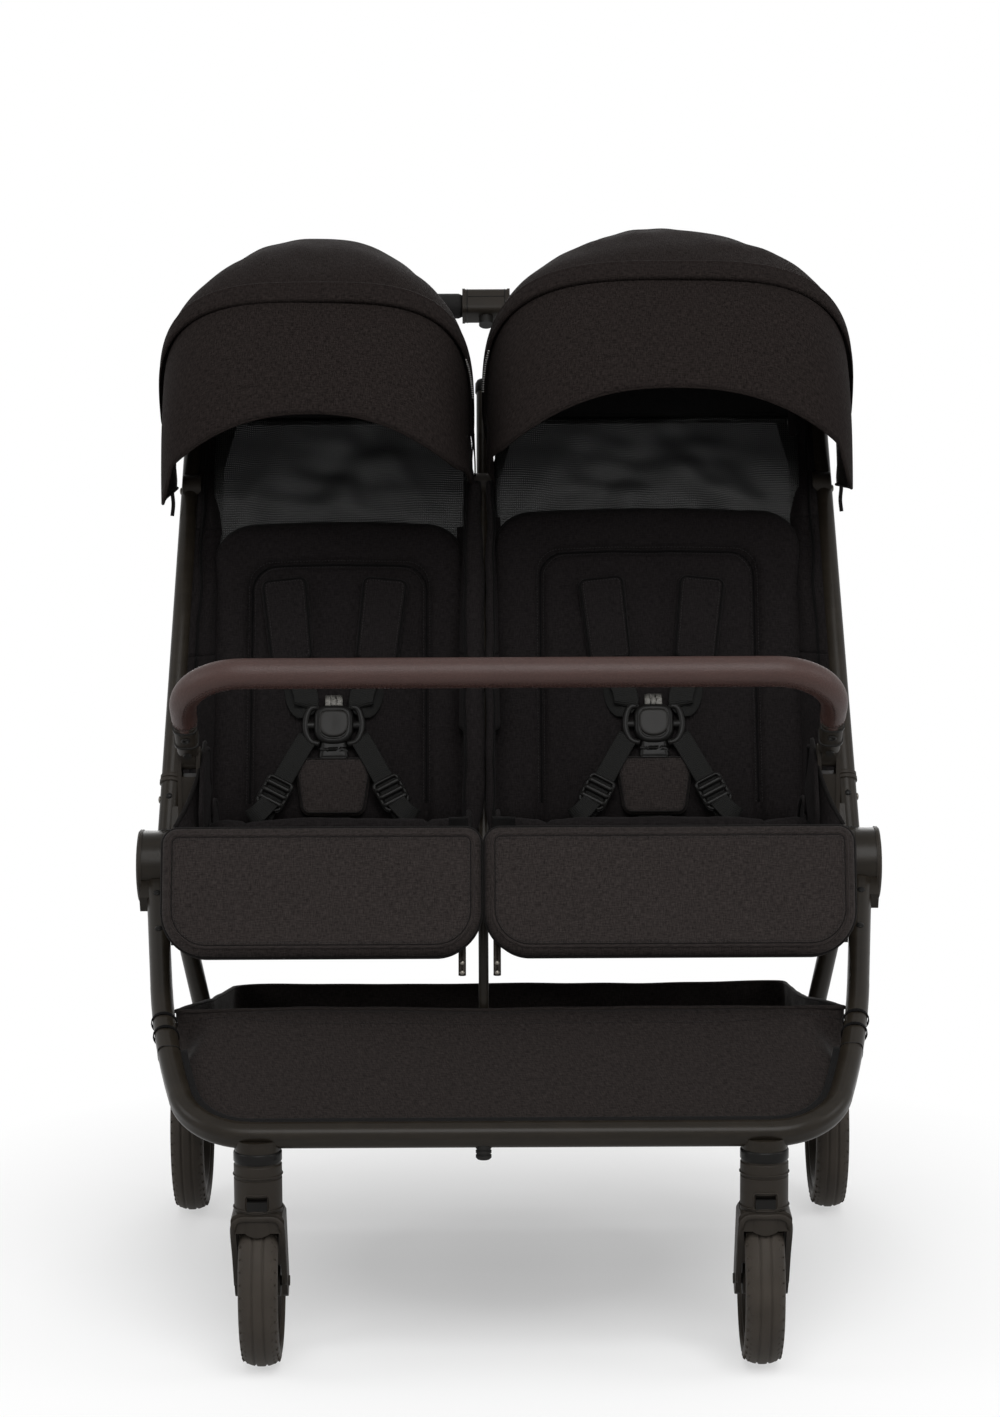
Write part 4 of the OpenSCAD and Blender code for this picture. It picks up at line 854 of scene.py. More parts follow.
def archLine(span, ends, inset, footR, rise, shoulder=0.0, power=canopySpec["power"]):
    c = canopySpec
    mid, half = sum(span) / 2, (span[1] - span[0]) / 2 - inset - shoulder
    t = np.linspace(0, pi, 90)
    r = c["foot"] + (c["radius"] + rise - inset - c["foot"]) * np.sin(t) ** power
    x = mid - half * np.sign(np.cos(t)) * np.abs(np.cos(t)) ** power
    line = np.concatenate([[(footR, ends[0]), (c["hold"], ends[0])], np.stack([r, x], 1),
                           [(c["hold"], ends[1]), (footR, ends[1])]])
    return eased(resample(line, 150), 5).T


def onBow(r, x, angle):
    a = np.radians(angle)
    return np.stack([x + 0 * a, canopySpec["pivotY"] - r * np.sin(a), canopySpec["pivotZ"] + r * np.cos(a)], -1)


for side, seat in seats.items():
    c = canopySpec
    span, rise, outer = seat["canopy"], seat["rise"], sides[side]
    mid, half = sum(span) / 2, (span[1] - span[0]) / 2
    rearAngle, bow, visorEdge, visorMid = [c[key] - seat["ease"] for key in ("rear", "bow", "visor", "visorMid")]
    rearEnds = sorted((outer * 361, divideX + outer * 9.2))
    ears = sorted((outer * 359, divideX + outer * 12.4))
    share = np.linspace(0, 1, 34)
    rows = []
    for s, dip in zip(share, np.sin(pi * share) ** 0.8):
        front = smoothStep(s, 0.25, 1.0)
        power = c["rearPower"] + (c["power"] - c["rearPower"]) * front
        r, x = archLine(span, rearEnds, 0.0, 15, rise, c["shoulder"] * (1 - front), power)
        angle = rearAngle + (bow - rearAngle) * s
        sag = c["sag"] - 1.1 * uneven(x * 0.5, angle * 4.5, 80, 31) - 0.5 * uneven(x, angle * 2.0, 34, 33)
        rows.append(onBow(r - dip * smoothStep(r, 80, 200) * sag, x, angle))
    rear = gridPiece("canopyPanel_" + side, rows, "canopy", thick=-1.6)
    pivot = (mid * mm, c["pivotY"] * mm, c["pivotZ"] * mm)
    fore = np.array([0, -cos(radians(bow)), -sin(radians(bow))])
    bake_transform(rear)
    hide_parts("canopy_rear_" + side)
    cloth(rows, ["canopy_clips"])
    # curtain from the back edge of the canopy down to the mesh
    top = rows[0][10:-10] + (0, 0.5, -2.0)
    foot = onBack(np.clip(top[:, 0], *meshSpec[side]), meshSpec["high"] - 4, meshSpec["out"] - meshSpec["tuck"])
    foot[:, 2] = np.minimum(foot[:, 2], top[:, 2] - 2)
    v = np.linspace(0, 1, 18)[:, None, None]
    drop = foot[None] * (1 - v) + top[None] * v
    drop[..., 1] += np.sin(pi * v[..., 0]) * (6 + 2.0 * uneven(drop[..., 0], drop[..., 2], 70, 47))
    sheetPiece("canopyCurtain_" + side, drop, "lining", 1.2, "push_frame",
               ["canopyPanel_" + side])
    tape = sweepPiece("canopyRearTape_" + side, evenly(rows[0][9:-9], 5), (9, 2.2), "binding", facing=(0, 1.0, 0.2))
    ride(tape, "push_frame")

    # visor: tucked under the bow, its lower edge arched
    body = "canopy_bow_" + side
    r, x = archLine(span, ears, c["inset"], 9.0, rise)
    lift = np.clip(1 - (np.abs(x - mid) / (half * 0.9)) ** 2.2, 0, 1)
    edge = visorEdge - (visorEdge - visorMid) * lift
    edge = edge + c["earDrop"] * smoothStep((x - mid) * outer, half * 0.86, half * 0.97)
    share = np.linspace(0, 1, 36)
    angle = bow - 1.5 + (edge[None] - bow + 1.5) * share[:, None]
    rr = r[None] + np.sin(pi * share)[:, None] * 3.0 * smoothStep(r, 120, 240)[None]
    rr = rr + 0.8 * uneven(x[None] * 0.6, angle * 4.0, 90, 37 if outer < 0 else 41) * smoothStep(r, 60, 200)[None]
    sheetPiece("canopyVisor_" + side, onBow(rr, x[None] + 0 * rr, angle), "canopy", -1.6, body,
               ["canopyBand_" + side], ["canopy_front_" + side])
    trims = [sweepPiece("visorHem", evenly(onBow(rr[-1] - 0.6, x, angle[-1]), 4), 1.7, "canopy")]
    seamRow = onBow(rr[-3] + 0.3, x, angle[-1] - 1.6)
    trims.append(beadRows("visorStitch", [evenly(seamRow[14:-14], 3)], 3.6))

    # band over the bow: a flat tape with a cord at either edge
    r, x = archLine(span, ears, -1.0, 12, rise)
    sheetPiece("canopyBand_" + side, np.array([onBow(r + out, x, bow + a) for a, out in bandProfile]), "canopy", -1.2,
               body, ["canopyVisor_" + side])
    teeth = onBow(r + 2.7, x, bow - 0.4)
    innerRun = teeth[int(len(teeth) * 0.74):-6] if outer < 0 else teeth[6:int(len(teeth) * 0.26)]
    outerRun = teeth[6:int(len(teeth) * 0.2)] if outer < 0 else teeth[int(len(teeth) * 0.8):-6]
    trims.append(beadRows("canopyZip", [evenly(innerRun, 2), evenly(outerRun, 2)], 2.2, (1.6, 0.5, 0.75), "gloss"))
    # pale zip teeth along the bare stretch of the band's lip: painted highlight for the zip's glints
    bare = (r > 132) & (r < 192) & ((x - mid) * outer < 0)
    lip = onBow(r - 0.6, x, bow + 2.7)[bare]
    trims.append(beadRows("zipTeethPaintedGlint", [evenly(lip, 2)], 3.0, (1.3, 0.8, 1.0), "zip"))
    # the outer ends carry a zip slider with a pull tab
    foot = onBow(20.0, outer * 362.0, bow + 30.0)
    hang = ((0, 0, 0), (1.5, -2, -10), (0.5, -3, -24), (2.0, -2, -37))
    tab = smoothPath([foot + (outer * u, v, w) for u, v, w in hang], 2)
    trims += [sweepPiece("zipPull", tab, (4.4, 1.6), "binding", facing=(0, -1.0, 0)),
              lathePiece("zipSlider", [(0.1, 0), (2.4, 0.4), (3.0, 2.0), (3.0, 8.0), (2.2, 9.6), (0.1, 10)],
                         foot + (outer * 0.4, -1, -6), (0, 0, 1), "gloss", 16)]
    ride(joined("canopyTrim_" + side, trims), body)
print("canopies done")

# mesh windows between the pads and the canopies, with a cloth border; a crease has a height, a middle and a slope in
# u, the same in v, and a width
creases = ((9.0, 0.62, 1.2, 0.6, 0.5, 0.09), (-7.5, 0.4, 0.9, 0.5, -0.5, 0.09), (6.5, 0.84, 1.1, 0.3, 0.4, 0.06),
           (6.0, 0.2, 1.1, 0.6, -0.3, 0.07))
for side, seat in seats.items():
    x0, x1 = meshSpec[side]
    low, high, inset, tuck = seat["padTop"] - 28, meshSpec["high"], meshSpec["inset"], meshSpec["tuck"]
    xs, ups = np.meshgrid(np.linspace(x0, x1, 100), np.linspace(low, high, 52))
    u, v = (xs - x0) / (x1 - x0), (ups - low) / (high - low)
    calm = np.sin(pi * u) ** 0.5 * np.sin(pi * np.clip(v, 0, 1)) ** 0.5
    folds = sum(tall * np.exp(-(((u - u0) * a + (v - v0) * b) / wide) ** 2) for tall, u0, a, v0, b, wide in creases)
    folds = folds + 2.4 * uneven(xs, ups * 1.4, 60, 51) + 1.0 * uneven(xs * 0.5, ups, 26, 54)
    out = -17 + 11 * smoothStep(v, 0.15, 0.45) - tuck * smoothStep(v, 0.55, 1.0) - 8 * calm ** 2 + calm * folds
    grid = onBack(xs, ups, out)
    window = gridPiece("meshWindow_" + side, grid, "mesh", thick=0.6)
    edge = [(x0, low), (x0, high - 70), (x0 + inset, high), (x1 - inset, high), (x1, high - 70), (x1, low)]
    run = evenly([onBack(a, b, meshSpec["out"] - tuck if b > low else -16) for a, b in edge], 5)
    border = sweepPiece("meshBorder_" + side, run, (meshSpec["border"], 2.0), "lining", facing=faceOf(onBack))
    upper, lower = [tuple(onBack((x0 + x1) / 2, s, meshSpec["out"]) * mm)
                    for s in (meshSpec["blendTop"], seat["padTop"])]
    for piece in (window, border):
        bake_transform(piece)
        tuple(upper)
        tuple(lower)
    cloth(grid, ["canopyCurtain_" + side, "backPad_" + side])
    if side == "left":
        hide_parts("mesh_windows")
print("mesh windows done")

# side wings: cloth from a pad's edges out to the push tube and in to the centre post; the lower end goes with the push
# frame, the middle and the top stay in place
wingSpec = {"low": 468, "high": 880, "rows": 84, "split": 31, "foldKeep": 0.15, "innerFrom": 16, "outerX": 309.0,
            "left": (-54.0, -44.8), "right": (-6.0, -16.2)}
pushSpec = {"x": 357, "top": 560, "toe": 15}


def tubeX(s):
    return pushSpec["x"] - pushSpec["toe"] * s / pushSpec["top"]


for side, seat in seats.items():
    sign, w = sides[side], wingSpec
    zs, us = np.meshgrid(np.linspace(w["low"], w["high"], w["rows"]), np.linspace(0, 1, 22), indexing="ij")
    backLean = radians(lean["back"])
    sBack = (zs - backZ + 17 * cos(backLean)) / sin(backLean)
    sPush = (zs - hubZ) / sin(radians(lean["push"]))
    split, padRow = w["split"], int(np.argmin(np.abs(sBack[:, 0] - seat["padTop"])))
    outerParts = (("", 0, split + 1), ("Mid", split, padRow + 1), ("Top", padRow, None))
    innerParts = (("Low", w["innerFrom"], split + 1), ("Mid", split, padRow + 1))
    for where, nearX, farX, parts in (("Wing", sign * w["outerX"], sign * (tubeX(sPush) - 7), outerParts),
                                      ("Inner", w[side][0], w[side][1] + 0 * zs, innerParts)):
        isOuter = where == "Wing"
        grid = onBack(nearX, sBack, -17.0) * (1 - us[..., None]) + onPush(farX, sPush, 4.0) * us[..., None]
        if isOuter:
            swell = np.sin(pi * us)
            wave = 7 + 3.0 * uneven(zs, us * 40, 90, 57) + 2.0 * np.sin(us * 9 + 0.6 * uneven(zs, us * 10, 120, 58))
            grid[..., 1] -= swell * wave
            grid[..., 0] -= sign * swell * 1.5 * uneven(zs, us * 30, 60, 59)
        lead = onBack(nearX, seat["padTop"], -8) * mm
        reach = nearX * mm + (np.mean(farX) - nearX) * mm
        span = nearX * mm + 0.002 * np.sign(nearX - np.mean(farX)) * -1 - reach
        fade = (meshSpec["blendTop"] - seat["padTop"]) * mm
        slope = np.array([1 / span, -cos(backLean) / fade, -sin(backLean) / fade])
        tubeSide = np.array([reach, lead[1], lead[2]])
        for part, first, last in parts:
            piece = grid[first:last]
            made = [gridPiece("seat%s%s_%s" % (where, part, side), piece, "seat", thick=1.4 if isOuter else 0.8)]
            if isOuter:
                edgeRun = evenly(piece[:, 14] + (0, -1.6, 0), 5)
                made.append(sweepPiece("wingEdge%s_%s" % (part, side), edgeRun, 1.8, "shade"))
            for one in made:
                if part == "":
                    crumple(ride(one, "push_frame"), sign * 0.342, w["foldKeep"])
                    continue
                pull = slope if part == "Top" else np.array([1 / span, 0, 0])
                tuple(tubeSide + pull / (pull @ pull))
                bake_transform(one)
            cloth(piece, ["push_tube_" + side if isOuter else "centre_post"])

# the two cloth rolls that meet along the divide, in front of the centre post
rollSpec = {"left": (-36.0, 11.0), "right": (-18.6, 5.0), "foldKeep": 0.55}
for side, sign in sides.items():
    middle, wide = rollSpec[side]
    zs = np.linspace(455, 800, 90)
    padY = backY + (zs - backZ) / tan(radians(lean["back"])) - 3
    postY = (zs - hubZ) / tan(radians(lean["push"])) - 17
    ys = eased(np.minimum(padY, postY) - 2.0, 8)
    wave = 1.2 * uneven(zs, 0 * zs, 60, 63 + sign)
    path = np.stack([middle + wave * 0.6, ys, zs], 1)
    taper = smoothStep(zs, 452, 480) * (1 - 0.35 * smoothStep(zs, 690, 800))
    taper = taper * (1 + 0.06 * uneven(zs, 0 * zs, 34, 66 + sign))
    roll = sweepPiece("divideRoll", path, roundSection(1.0, 20) * (wide, 9.0), "seat", facing=(0, -1.0, 0.45),
                      scale=0.2 + 0.8 * taper)
    welt = sweepPiece("divideWelt", path + (sign * (wide - 1.5), -5.5, 2.5), 1.4, "shade")
    piece = joined("divideRoll_" + side, [roll, welt])
    crumple(ride(piece, "push_frame"), divideX * mm, rollSpec["foldKeep"])

# dark flaps in the gap between the tubs, behind the leg rests, that make the gap read dark: painted shade
for side, (x0, x1) in (("left", (-60, -40.5)), ("right", (-16.5, 6))):
    xs, zs = np.meshgrid(np.linspace(x0, x1, 16), np.linspace(468, 506, 16))
    flap = np.stack([xs, -165 + 3 * np.sin((zs - 468) / 38 * pi) + 0.8 * uneven(xs, zs, 30, 96), zs], -1)
    sheetPiece("divideFlap_" + side, flap, "lining", 1.2, "front_frame", ["seat_frame"])
print("wings done")

# seat tubs: cloth walls with a rolled top edge, a sling under the cushion and gussets out to the leg rests
tubSpec = {"wall": ((-167, 486), (-169, 512), (-138, 552), (-98, 564), (-60, 558)), "over": 2, "innerShare": 0.3,
           "tail": ((69, 435.5), (73, 428), (82, 424), (95, 421), (104, 414), (114, 404)),
           "rim": ((306, -92, 570), (309, -128, 548), (319, -155, 520), (331, -173, 498)),
           "foot": ((300, -92, 520), (301, -128, 492), (302, -155, 482), (306, -173, 477))}
for side, seat in seats.items():
    outer, over = sides[side], tubSpec["over"]
    x0, x1 = seat["tub"][0] - over, seat["tub"][1] + over
    tubCloth = lambda name, grid, thick: sheetPiece("tub%s_%s" % (name, side), grid, "seat", thick, "front_frame",
                                                    ["seat_frame"])
    sweepR = hypot(75, 15) - 8
    turn = [(sweepR * cos(radians(a)), hubZ + sweepR * sin(radians(a))) for a in range(120, 23, -12)]
    wallTop = evenly([(0, y, z) for y, z in [*tubSpec["wall"], *turn]], 5)
    base = np.linspace(0, 1, len(wallTop))
    wallLow = np.stack([0 * base, -167 + 230 * base, 486 - 48 * base], 1)
    edges = []
    for x, sign in ((x0, -1), (x1, 1)):
        # the wall by the divide is the lower one
        tall, which = (1.0, "Outer") if sign == outer else (tubSpec["innerShare"], "Inner")
        v = np.linspace(0, tall, 16)[:, None]
        wallY, wallZ = [wallLow[None, :, k] * (1 - v) + wallTop[None, :, k] * v for k in (1, 2)]
        wallX = x + sign * 1.2 * np.sin(pi * v) * (1 + 0.5 * uneven(wallY, wallZ, 45, 61)) + 0 * wallY
        tubCloth(which, np.stack([wallX, wallY, wallZ], -1), 1.6)
        roll = np.stack([np.full(len(wallTop), float(x)), wallY[-1], wallZ[-1]], 1)
        edges.append(sweepPiece("tubRoll", roll, roundSection(2.4, 10), "seat", facing=(1.0, 0, 0)))
    xs, ys = np.meshgrid(np.linspace(x0, x1, 30), np.linspace(-247, -6, 24))
    sling = onSeat(xs, ys, -2 - 1.2 * np.sin(pi * (xs - x0) / (x1 - x0)))
    tub = gridPiece("seatTub_" + side, sling, "seat", thick=-1.6)
    # a tail closes the slit behind the cushion, under the recline bar
    tailRun = smoothPath([(0, y, z) for y, z in tubSpec["tail"]], 3)
    tubCloth("Tail", tailRun[:, None] + np.stack([np.linspace(x0, x1, 30)] + [np.zeros(30)] * 2, -1)[None], -1.4)
    rim, low = [smoothPath([(outer * x, y, z) for x, y, z in tubSpec[key]], 4) for key in ("rim", "foot")]
    share, lowShare = np.linspace(0, 1, len(rim)), np.linspace(0, 1, len(low))
    low = np.stack([np.interp(share, lowShare, column) for column in low.T], 1)
    v = np.linspace(0, 1, 14)[:, None, None]
    gusset = rim[None] * v + low[None] * (1 - v)
    gusset[..., 1] -= np.sin(pi * v[..., 0]) * (4 + 1.5 * uneven(gusset[..., 2], gusset[..., 0], 40, 68))
    tubCloth("Gusset", gusset, 1.4)
    edges.append(sweepPiece("gussetEdge", rim + (0, -0.8, 0.6), 2.2, "binding"))
    edge = ride(joined("tubEdges_" + side, edges), "front_frame")
    ride(tub, "front_frame", ["seat_tub_" + side])
    cloth(sling, ["seat_frame"])
print("tubs done")

# front loop of the frame, in its own plane, for what is laced to it
loopSpec = {"hubX": 366, "reach": 372, "drop": 187, "corner": 72, "toe": radians(15), "splay": radians(5.5),
            "ease": 1000}
q = loopSpec
loopLen = hypot(q["reach"], q["drop"])
arcY = q["corner"] - loopLen
easeFrom = arcY - q["corner"] * sin(q["toe"]) + q["ease"] * (sin(q["toe"]) - sin(q["splay"]))
arcX = (q["hubX"] + tan(q["splay"]) * easeFrom - q["corner"] * cos(q["toe"])
        + q["ease"] * (cos(q["toe"]) - cos(q["splay"])))
easeX = arcX + (q["corner"] - q["ease"]) * cos(q["toe"])
easeY = arcY - (q["corner"] - q["ease"]) * sin(q["toe"])


def loopSide(l):
    if l < -easeFrom:
        return q["hubX"] - tan(q["splay"]) * l
    return easeX + sqrt(q["ease"] ** 2 - (l + easeY) ** 2)


# half of the loop from the middle of the front bar back to a distance from the hubs, moved inwards by shift
def loopHalf(back, shift):
    r = q["corner"] - shift
    turn = [(arcX + r * cos(a), arcY - r * sin(a)) for a in np.linspace(pi / 2, q["toe"], 20)]
    side = [(loopSide(l) - shift, -l) for l in np.linspace(-arcY + q["corner"] * sin(q["toe"]), back, 16)[1:]]
    return np.array([(0, -loopLen + shift)] + turn + side)


def mirrored(half):
    return np.concatenate([half[::-1] * (-1, 1), half[1:]])


# basket: one lofted bag from its hem and rim down to a sagging floor
basketSpec = {"hemY": -204, "hemZ": 319.5, "rearY": 171, "rearRim": 258, "floor": 190, "rearX": 299, "hemX": 333,
              "sag": 7.0, "floorRise": 26}
b = basketSpec
hemX, hemY, rearX, rearY = [b[key] for key in ("hemX", "hemY", "rearX", "rearY")]


# three runs of each ring, so that corners stay over corners: front, side, rear
def ringOf(front, side, rear):
    half = np.concatenate([resample(front, 64)[:-1], resample(side, 30)[:-1], resample(rear, 50)])
    return np.concatenate([half, half[::-1][1:-1] * (-1, 1)])


def rearRun(x, y, r):
    return [(x, y - r)] + [(x - r + r * cos(a), y - r + r * sin(a)) for a in np.linspace(0, pi / 2, 9)[1:]] + [(0, y)]


edgeHalf = loopHalf(228, 13.0) * (1, cos(radians(lean["loop"])))
rimRing = ringOf([(0, hemY), (hemX - 8, hemY), (hemX - 2, hemY + 3)],
                 [(hemX - 2, hemY + 3), (322, -150), (306, -60), (rearX, rearY - 26)], rearRun(rearX, rearY, 26))
lowRing = ringOf(edgeHalf, [edgeHalf[-1], (318, -150), (302, -60), (rearX - 2, rearY - 38)],
                 rearRun(rearX - 2, rearY - 4, 34))
floorRing = ringOf([(0, -300), (210, -298), (262, -280), (284, -236)], [(284, -236), (286, -120), (276, rearY - 66)],
                   rearRun(276, rearY - 26, 40))
onFloor = lambda p: b["floor"] + b["floorRise"] * smoothStep(-p[:, 1], 150, 300)
forward = smoothStep(-rimRing[:, 1], 150, 203)
rimZ = b["hemZ"] + (rimRing[:, 1] - hemY) * (b["rearRim"] - b["hemZ"]) / (rearY - hemY)
rimZ = rimZ + 1.2 * uneven(rimRing[:, 0], rimRing[:, 1], 260, 71) + 0.3 * uneven(rimRing[:, 0], rimRing[:, 1], 60, 72)
onPlane = hubZ + lowRing[:, 1] * tan(radians(lean["loop"])) - 2
lowSide = 226 - 10 * smoothStep(lowRing[:, 1], -150, 100)
lowZ = lowSide + (np.maximum(onPlane, lowSide) - lowSide) * smoothStep(-lowRing[:, 1], 200, 290)
floorZ = onFloor(floorRing)
rings = []
for t in np.linspace(0, 1, 24):
    p = rimRing * (1 - t) + lowRing * t
    z = rimZ * (1 - t) + lowZ * t
    belly = sin(pi * t)
    ripple = (belly * (1 - forward) * (1.5 + 2.2 * uneven(rimRing[:, 0] + rimRing[:, 1], z, 70, 73))
              + belly * forward * (1.0 + 1.1 * uneven(p[:, 0], z, 150, 76) + 0.5 * uneven(p[:, 0], z * 0.6, 46, 77)))
    away = p - np.array([0, -20])
    away = away / np.linalg.norm(away, axis=1)[:, None]
    p = p + away * ripple[:, None] * 0.8 * (1 - forward)[:, None]
    rings.append(np.column_stack([p, z + ripple * forward]))
for t in np.linspace(0, 1, 9)[1:]:
    a = t * pi / 2
    p = lowRing + (floorRing - lowRing) * (1 - cos(a))
    rings.append(np.column_stack([p, lowZ + (floorZ - lowZ) * sin(a)]))
for t in np.linspace(0, 1, 16)[1:]:
    p = floorRing + (np.array([0, -60]) - floorRing) * t * 0.97
    z = onFloor(p) - b["sag"] * smoothStep(t * np.ones(len(p)), 0, 0.8)
    rings.append(np.column_stack([p, z + 0.8 * uneven(p[:, 0], p[:, 1], 80, 79) * t]))
rings = np.array(rings)
# the weave runs across the front and down it
round2 = np.concatenate([rings, rings[:, :1]], 1)
weave = np.stack([round2[..., 0] + 0.3 * round2[..., 1], round2[..., 2] + 0.5 * round2[..., 1]], -1) * mm
bag = gridPiece("basketBag", rings, "basket", wrap=True, uv=weave)
lastRing = (len(rings) - 1) * rings.shape[1]
outward(bag.data, lambda bm: bmesh.ops.contextual_create(bm, geom=[v for v in bm.verts if v.index >= lastRing]))
thicken(bag, -1.8, even=False)
ride(bag, "front_frame", ["basket"])
cloth(round2, ["front_frame"])
parts = [sweepPiece("basketHem", np.column_stack([rimRing, rimZ]), 2.2, "basket", closed=True),
         beadRows("basketStitch", [evenly(rings[3] + (0, -0.6, 0.8), 3, True)], 3.6, cyclic=True)]
# the binding strip along the front bar, and the loops that tie the bag to the sides
strip = mirrored(loopHalf(300, 11.0))
stripRun = evenly(onLoop(strip[:, 0], strip[:, 1], 5.5), 5)
parts.append(sweepPiece("basketStrip", stripRun, (13, 2.2), "lining", facing=faceOf(onLoop)))
for l in (252, 272):
    for sign in (-1, 1):
        run = np.array([onLoop(sign * (loopSide(l) + cos(a) * 12.6), -l, sin(a) * 13.6) for a in around(24)])
        parts.append(sweepPiece("basketTie", run, (4, 1.2), "shade", facing=run - run.mean(0), closed=True))
ride(joined("basketTrim", parts), "front_frame")
print("basket done")

# bumper bar: leatherette sleeve with a stitched closing seam, and its end fittings
bumperSpec = {"armX": 320, "corner": 62, "reach": hypot(112, 102), "fitting": 66, "root": 33, "r": 15.0, "slim": 0.84}
armX, bend, reach, fitting, root = [bumperSpec[key] for key in ("armX", "corner", "reach", "fitting", "root")]
upward = faceOf(onBumper)


# distance of each point of a run from its nearer end
def fromEnds(run, step):
    count = np.arange(len(run))
    return np.minimum(count, count[::-1]) * step


arm = [(armX, -fitting - 1), (armX, -reach + bend)]
arm += [(armX - bend + bend * cos(a), -reach + bend - bend * sin(a)) for a in np.linspace(0, pi / 2, 16)[1:]]
line = np.array(arm + [(-x, y) for x, y in arm[::-1]])
bumperRun = evenly(onBumper(line[:, 0], line[:, 1], 0), 4)
ends, slim = fromEnds(bumperRun, 4.0), bumperSpec["slim"]
sleeve = sweepPiece("bumperSleeve", bumperRun, roundSection(bumperSpec["r"], 40), "leather", facing=upward,
                    scale=(0.92 + 0.08 * rollOver(ends, 6)) * (slim + (1 - slim) * smoothStep(ends, 0, 70)))
ride(sleeve, "bumper", ["bumper_cover"])
lowRun = evenly(onBumper(line[:, 0], line[:, 1], -bumperSpec["r"] - 0.1), 3)[6:-6]
trims = [beadRows("sleeveStitch", [lowRun + onBumper(0, shift, 0) - onBumper(0, 0, 0)], 4.2, (0.5, 0.4, 1.6),
                  "leatherThread") for shift in (-2.2, 2.2)]
parts = []
pinProfile = [(0.1, 0), (4.4, 0.2), (4.6, 0.9), (4.0, 1.5), (2.2, 1.6), (1.8, 0.9), (0.1, 0.9)]
for sign in (-1, 1):
    armAt = lambda l, n=0.0, x=0.0: onBumper(sign * armX + x, -l, n)
    collar = evenly([armAt(fitting + 1.5), armAt(fitting - 4.5)], 1.5)
    trims.append(sweepPiece("sleeveCollar", collar, roundSection(11.9, 32), "leather", facing=upward))
    cut = [armAt(fitting + 6, 12.7 * sin(a), 12.7 * cos(a)) for a in around(40)]
    trims.append(beadRows("collarStitch", [cut], 3.6, (0.5, 0.4, 1.3), "leatherThread", cyclic=True))
    # moulded end: a flat-sided sleeve with a ridge at either end and a round pin on the face
    shaft = evenly([armAt(root), armAt(fitting + 2)], 2)
    parts.append(sweepPiece("endShaft", shaft, boxSection(22, 22, 6), "plastic", facing=upward))
    for l in (root + 3, fitting - 4):
        ridge = evenly([armAt(l - 1.3), armAt(l + 1.3)], 0.8)
        parts.append(sweepPiece("endRidge", ridge, boxSection(24.4, 24.4, 7), "button", facing=upward))
    parts.append(lathePiece("endPin", pinProfile, armAt((root + fitting) / 2, -10.9), -upward, "button", 32))
ride(joined("bumperTrim", trims), "bumper")
ride(joined("bumperEnds", parts), "bumper")
print("bumper done")

# harness: shoulder pads, crotch pad, webbing, adjusters and the buckle
outOf = faceOf(onBack)
padSpec = {"w": 49, "h": 96, "t": 12, "top": 9, "low": 8, "roll": 7, "lift": 0.4, "lump": 0.4, "taper": 0.08,
           "step": 2.6}
crotchSpec = {"w": 76, "h": 64, "t": 9, "top": 8, "low": 10, "roll": 6, "lift": 1.2, "lump": 0.4, "taper": 0.26,
              "step": 2.6, "seed": 91}
buckleSpec = {"w": 42, "h": 44, "t": 11.5, "top": 13, "low": 17, "roll": 5, "lift": 1.2, "edge": 0.55, "lump": 0,
              "step": 2.4}
tabSpec = {"w": 19, "h": 9, "t": 5, "top": 2.2, "low": 2.2, "roll": 2, "lift": 5.0, "edge": 0.5, "lump": 0,
           "step": 2}
# webbing on either side: width and thickness, spacing of points, and points out from the middle, up and off the back
webSpec = {
    "shoulderStrap": ((26, 1.7), 2, ((40, 198, 6.5), (38, 178, 8), (31, 158, 10), (29, 146, 11.5), (30, 140, 9))),
    "strapTail": ((24, 1.7), 2, ((26, 150, 8.6), (33, 140, 7.5), (40, 150, 5.5), (43, 168, 4))),
    "waistStrap": ((22, 1.8), 3, ((27, 108, 9), (36, 92, 11), (50, 66, 13), (64, 40, 14), (76, 18, 8))),
    "waistTail": ((20, 1.5), 3, ((66, 36, 17), (78, 22, 20), (88, 16, 16))),
}
hookLine = ((16, 141, 8), (25, 139, 8.5), (29.5, 128, 9), (29.5, 114, 9), (24, 103, 8.5), (15, 100, 8))


# a slide with three bars that the webbing runs through
def adjuster(centre, turn, out):
    c, s = cos(turn), sin(turn)
    place = lambda u, v, n: onBack(centre[0] + u * c - v * s, centre[1] + u * s + v * c, out + n)
    frameRun = [place(u, v, 1.6) for u, v in padOutline(30, 36, 5, 8, 1.5, 2.0)[:, :2]]
    made = [sweepPiece("slideFrame", frameRun, 2.2, "gloss", facing=outOf, closed=True)]
    for v in (-8.5, 0.5, 9.5):
        bar = evenly([place(-14, v, 3.0), place(14, v, 3.0)], 3)
        made.append(sweepPiece("slideBar", bar, roundSection(1.0, 10) * (2.9, 1.9), "gloss", facing=outOf))
    return made


# piping near a pad's edge and a row of stitches inside it
def edging(name, spec, pipe, pipeR, lift, paint, stitch):
    return [sweepPiece(name + "Piping", padRun(spec, onBack, pipe, lift), roundSection(pipeR, 6), paint, closed=True),
            beadRows(name + "Stitch", [padRun(spec, onBack, stitch, 0.2)], 3.2, (0.35, 0.3, 1.2), cyclic=True)]


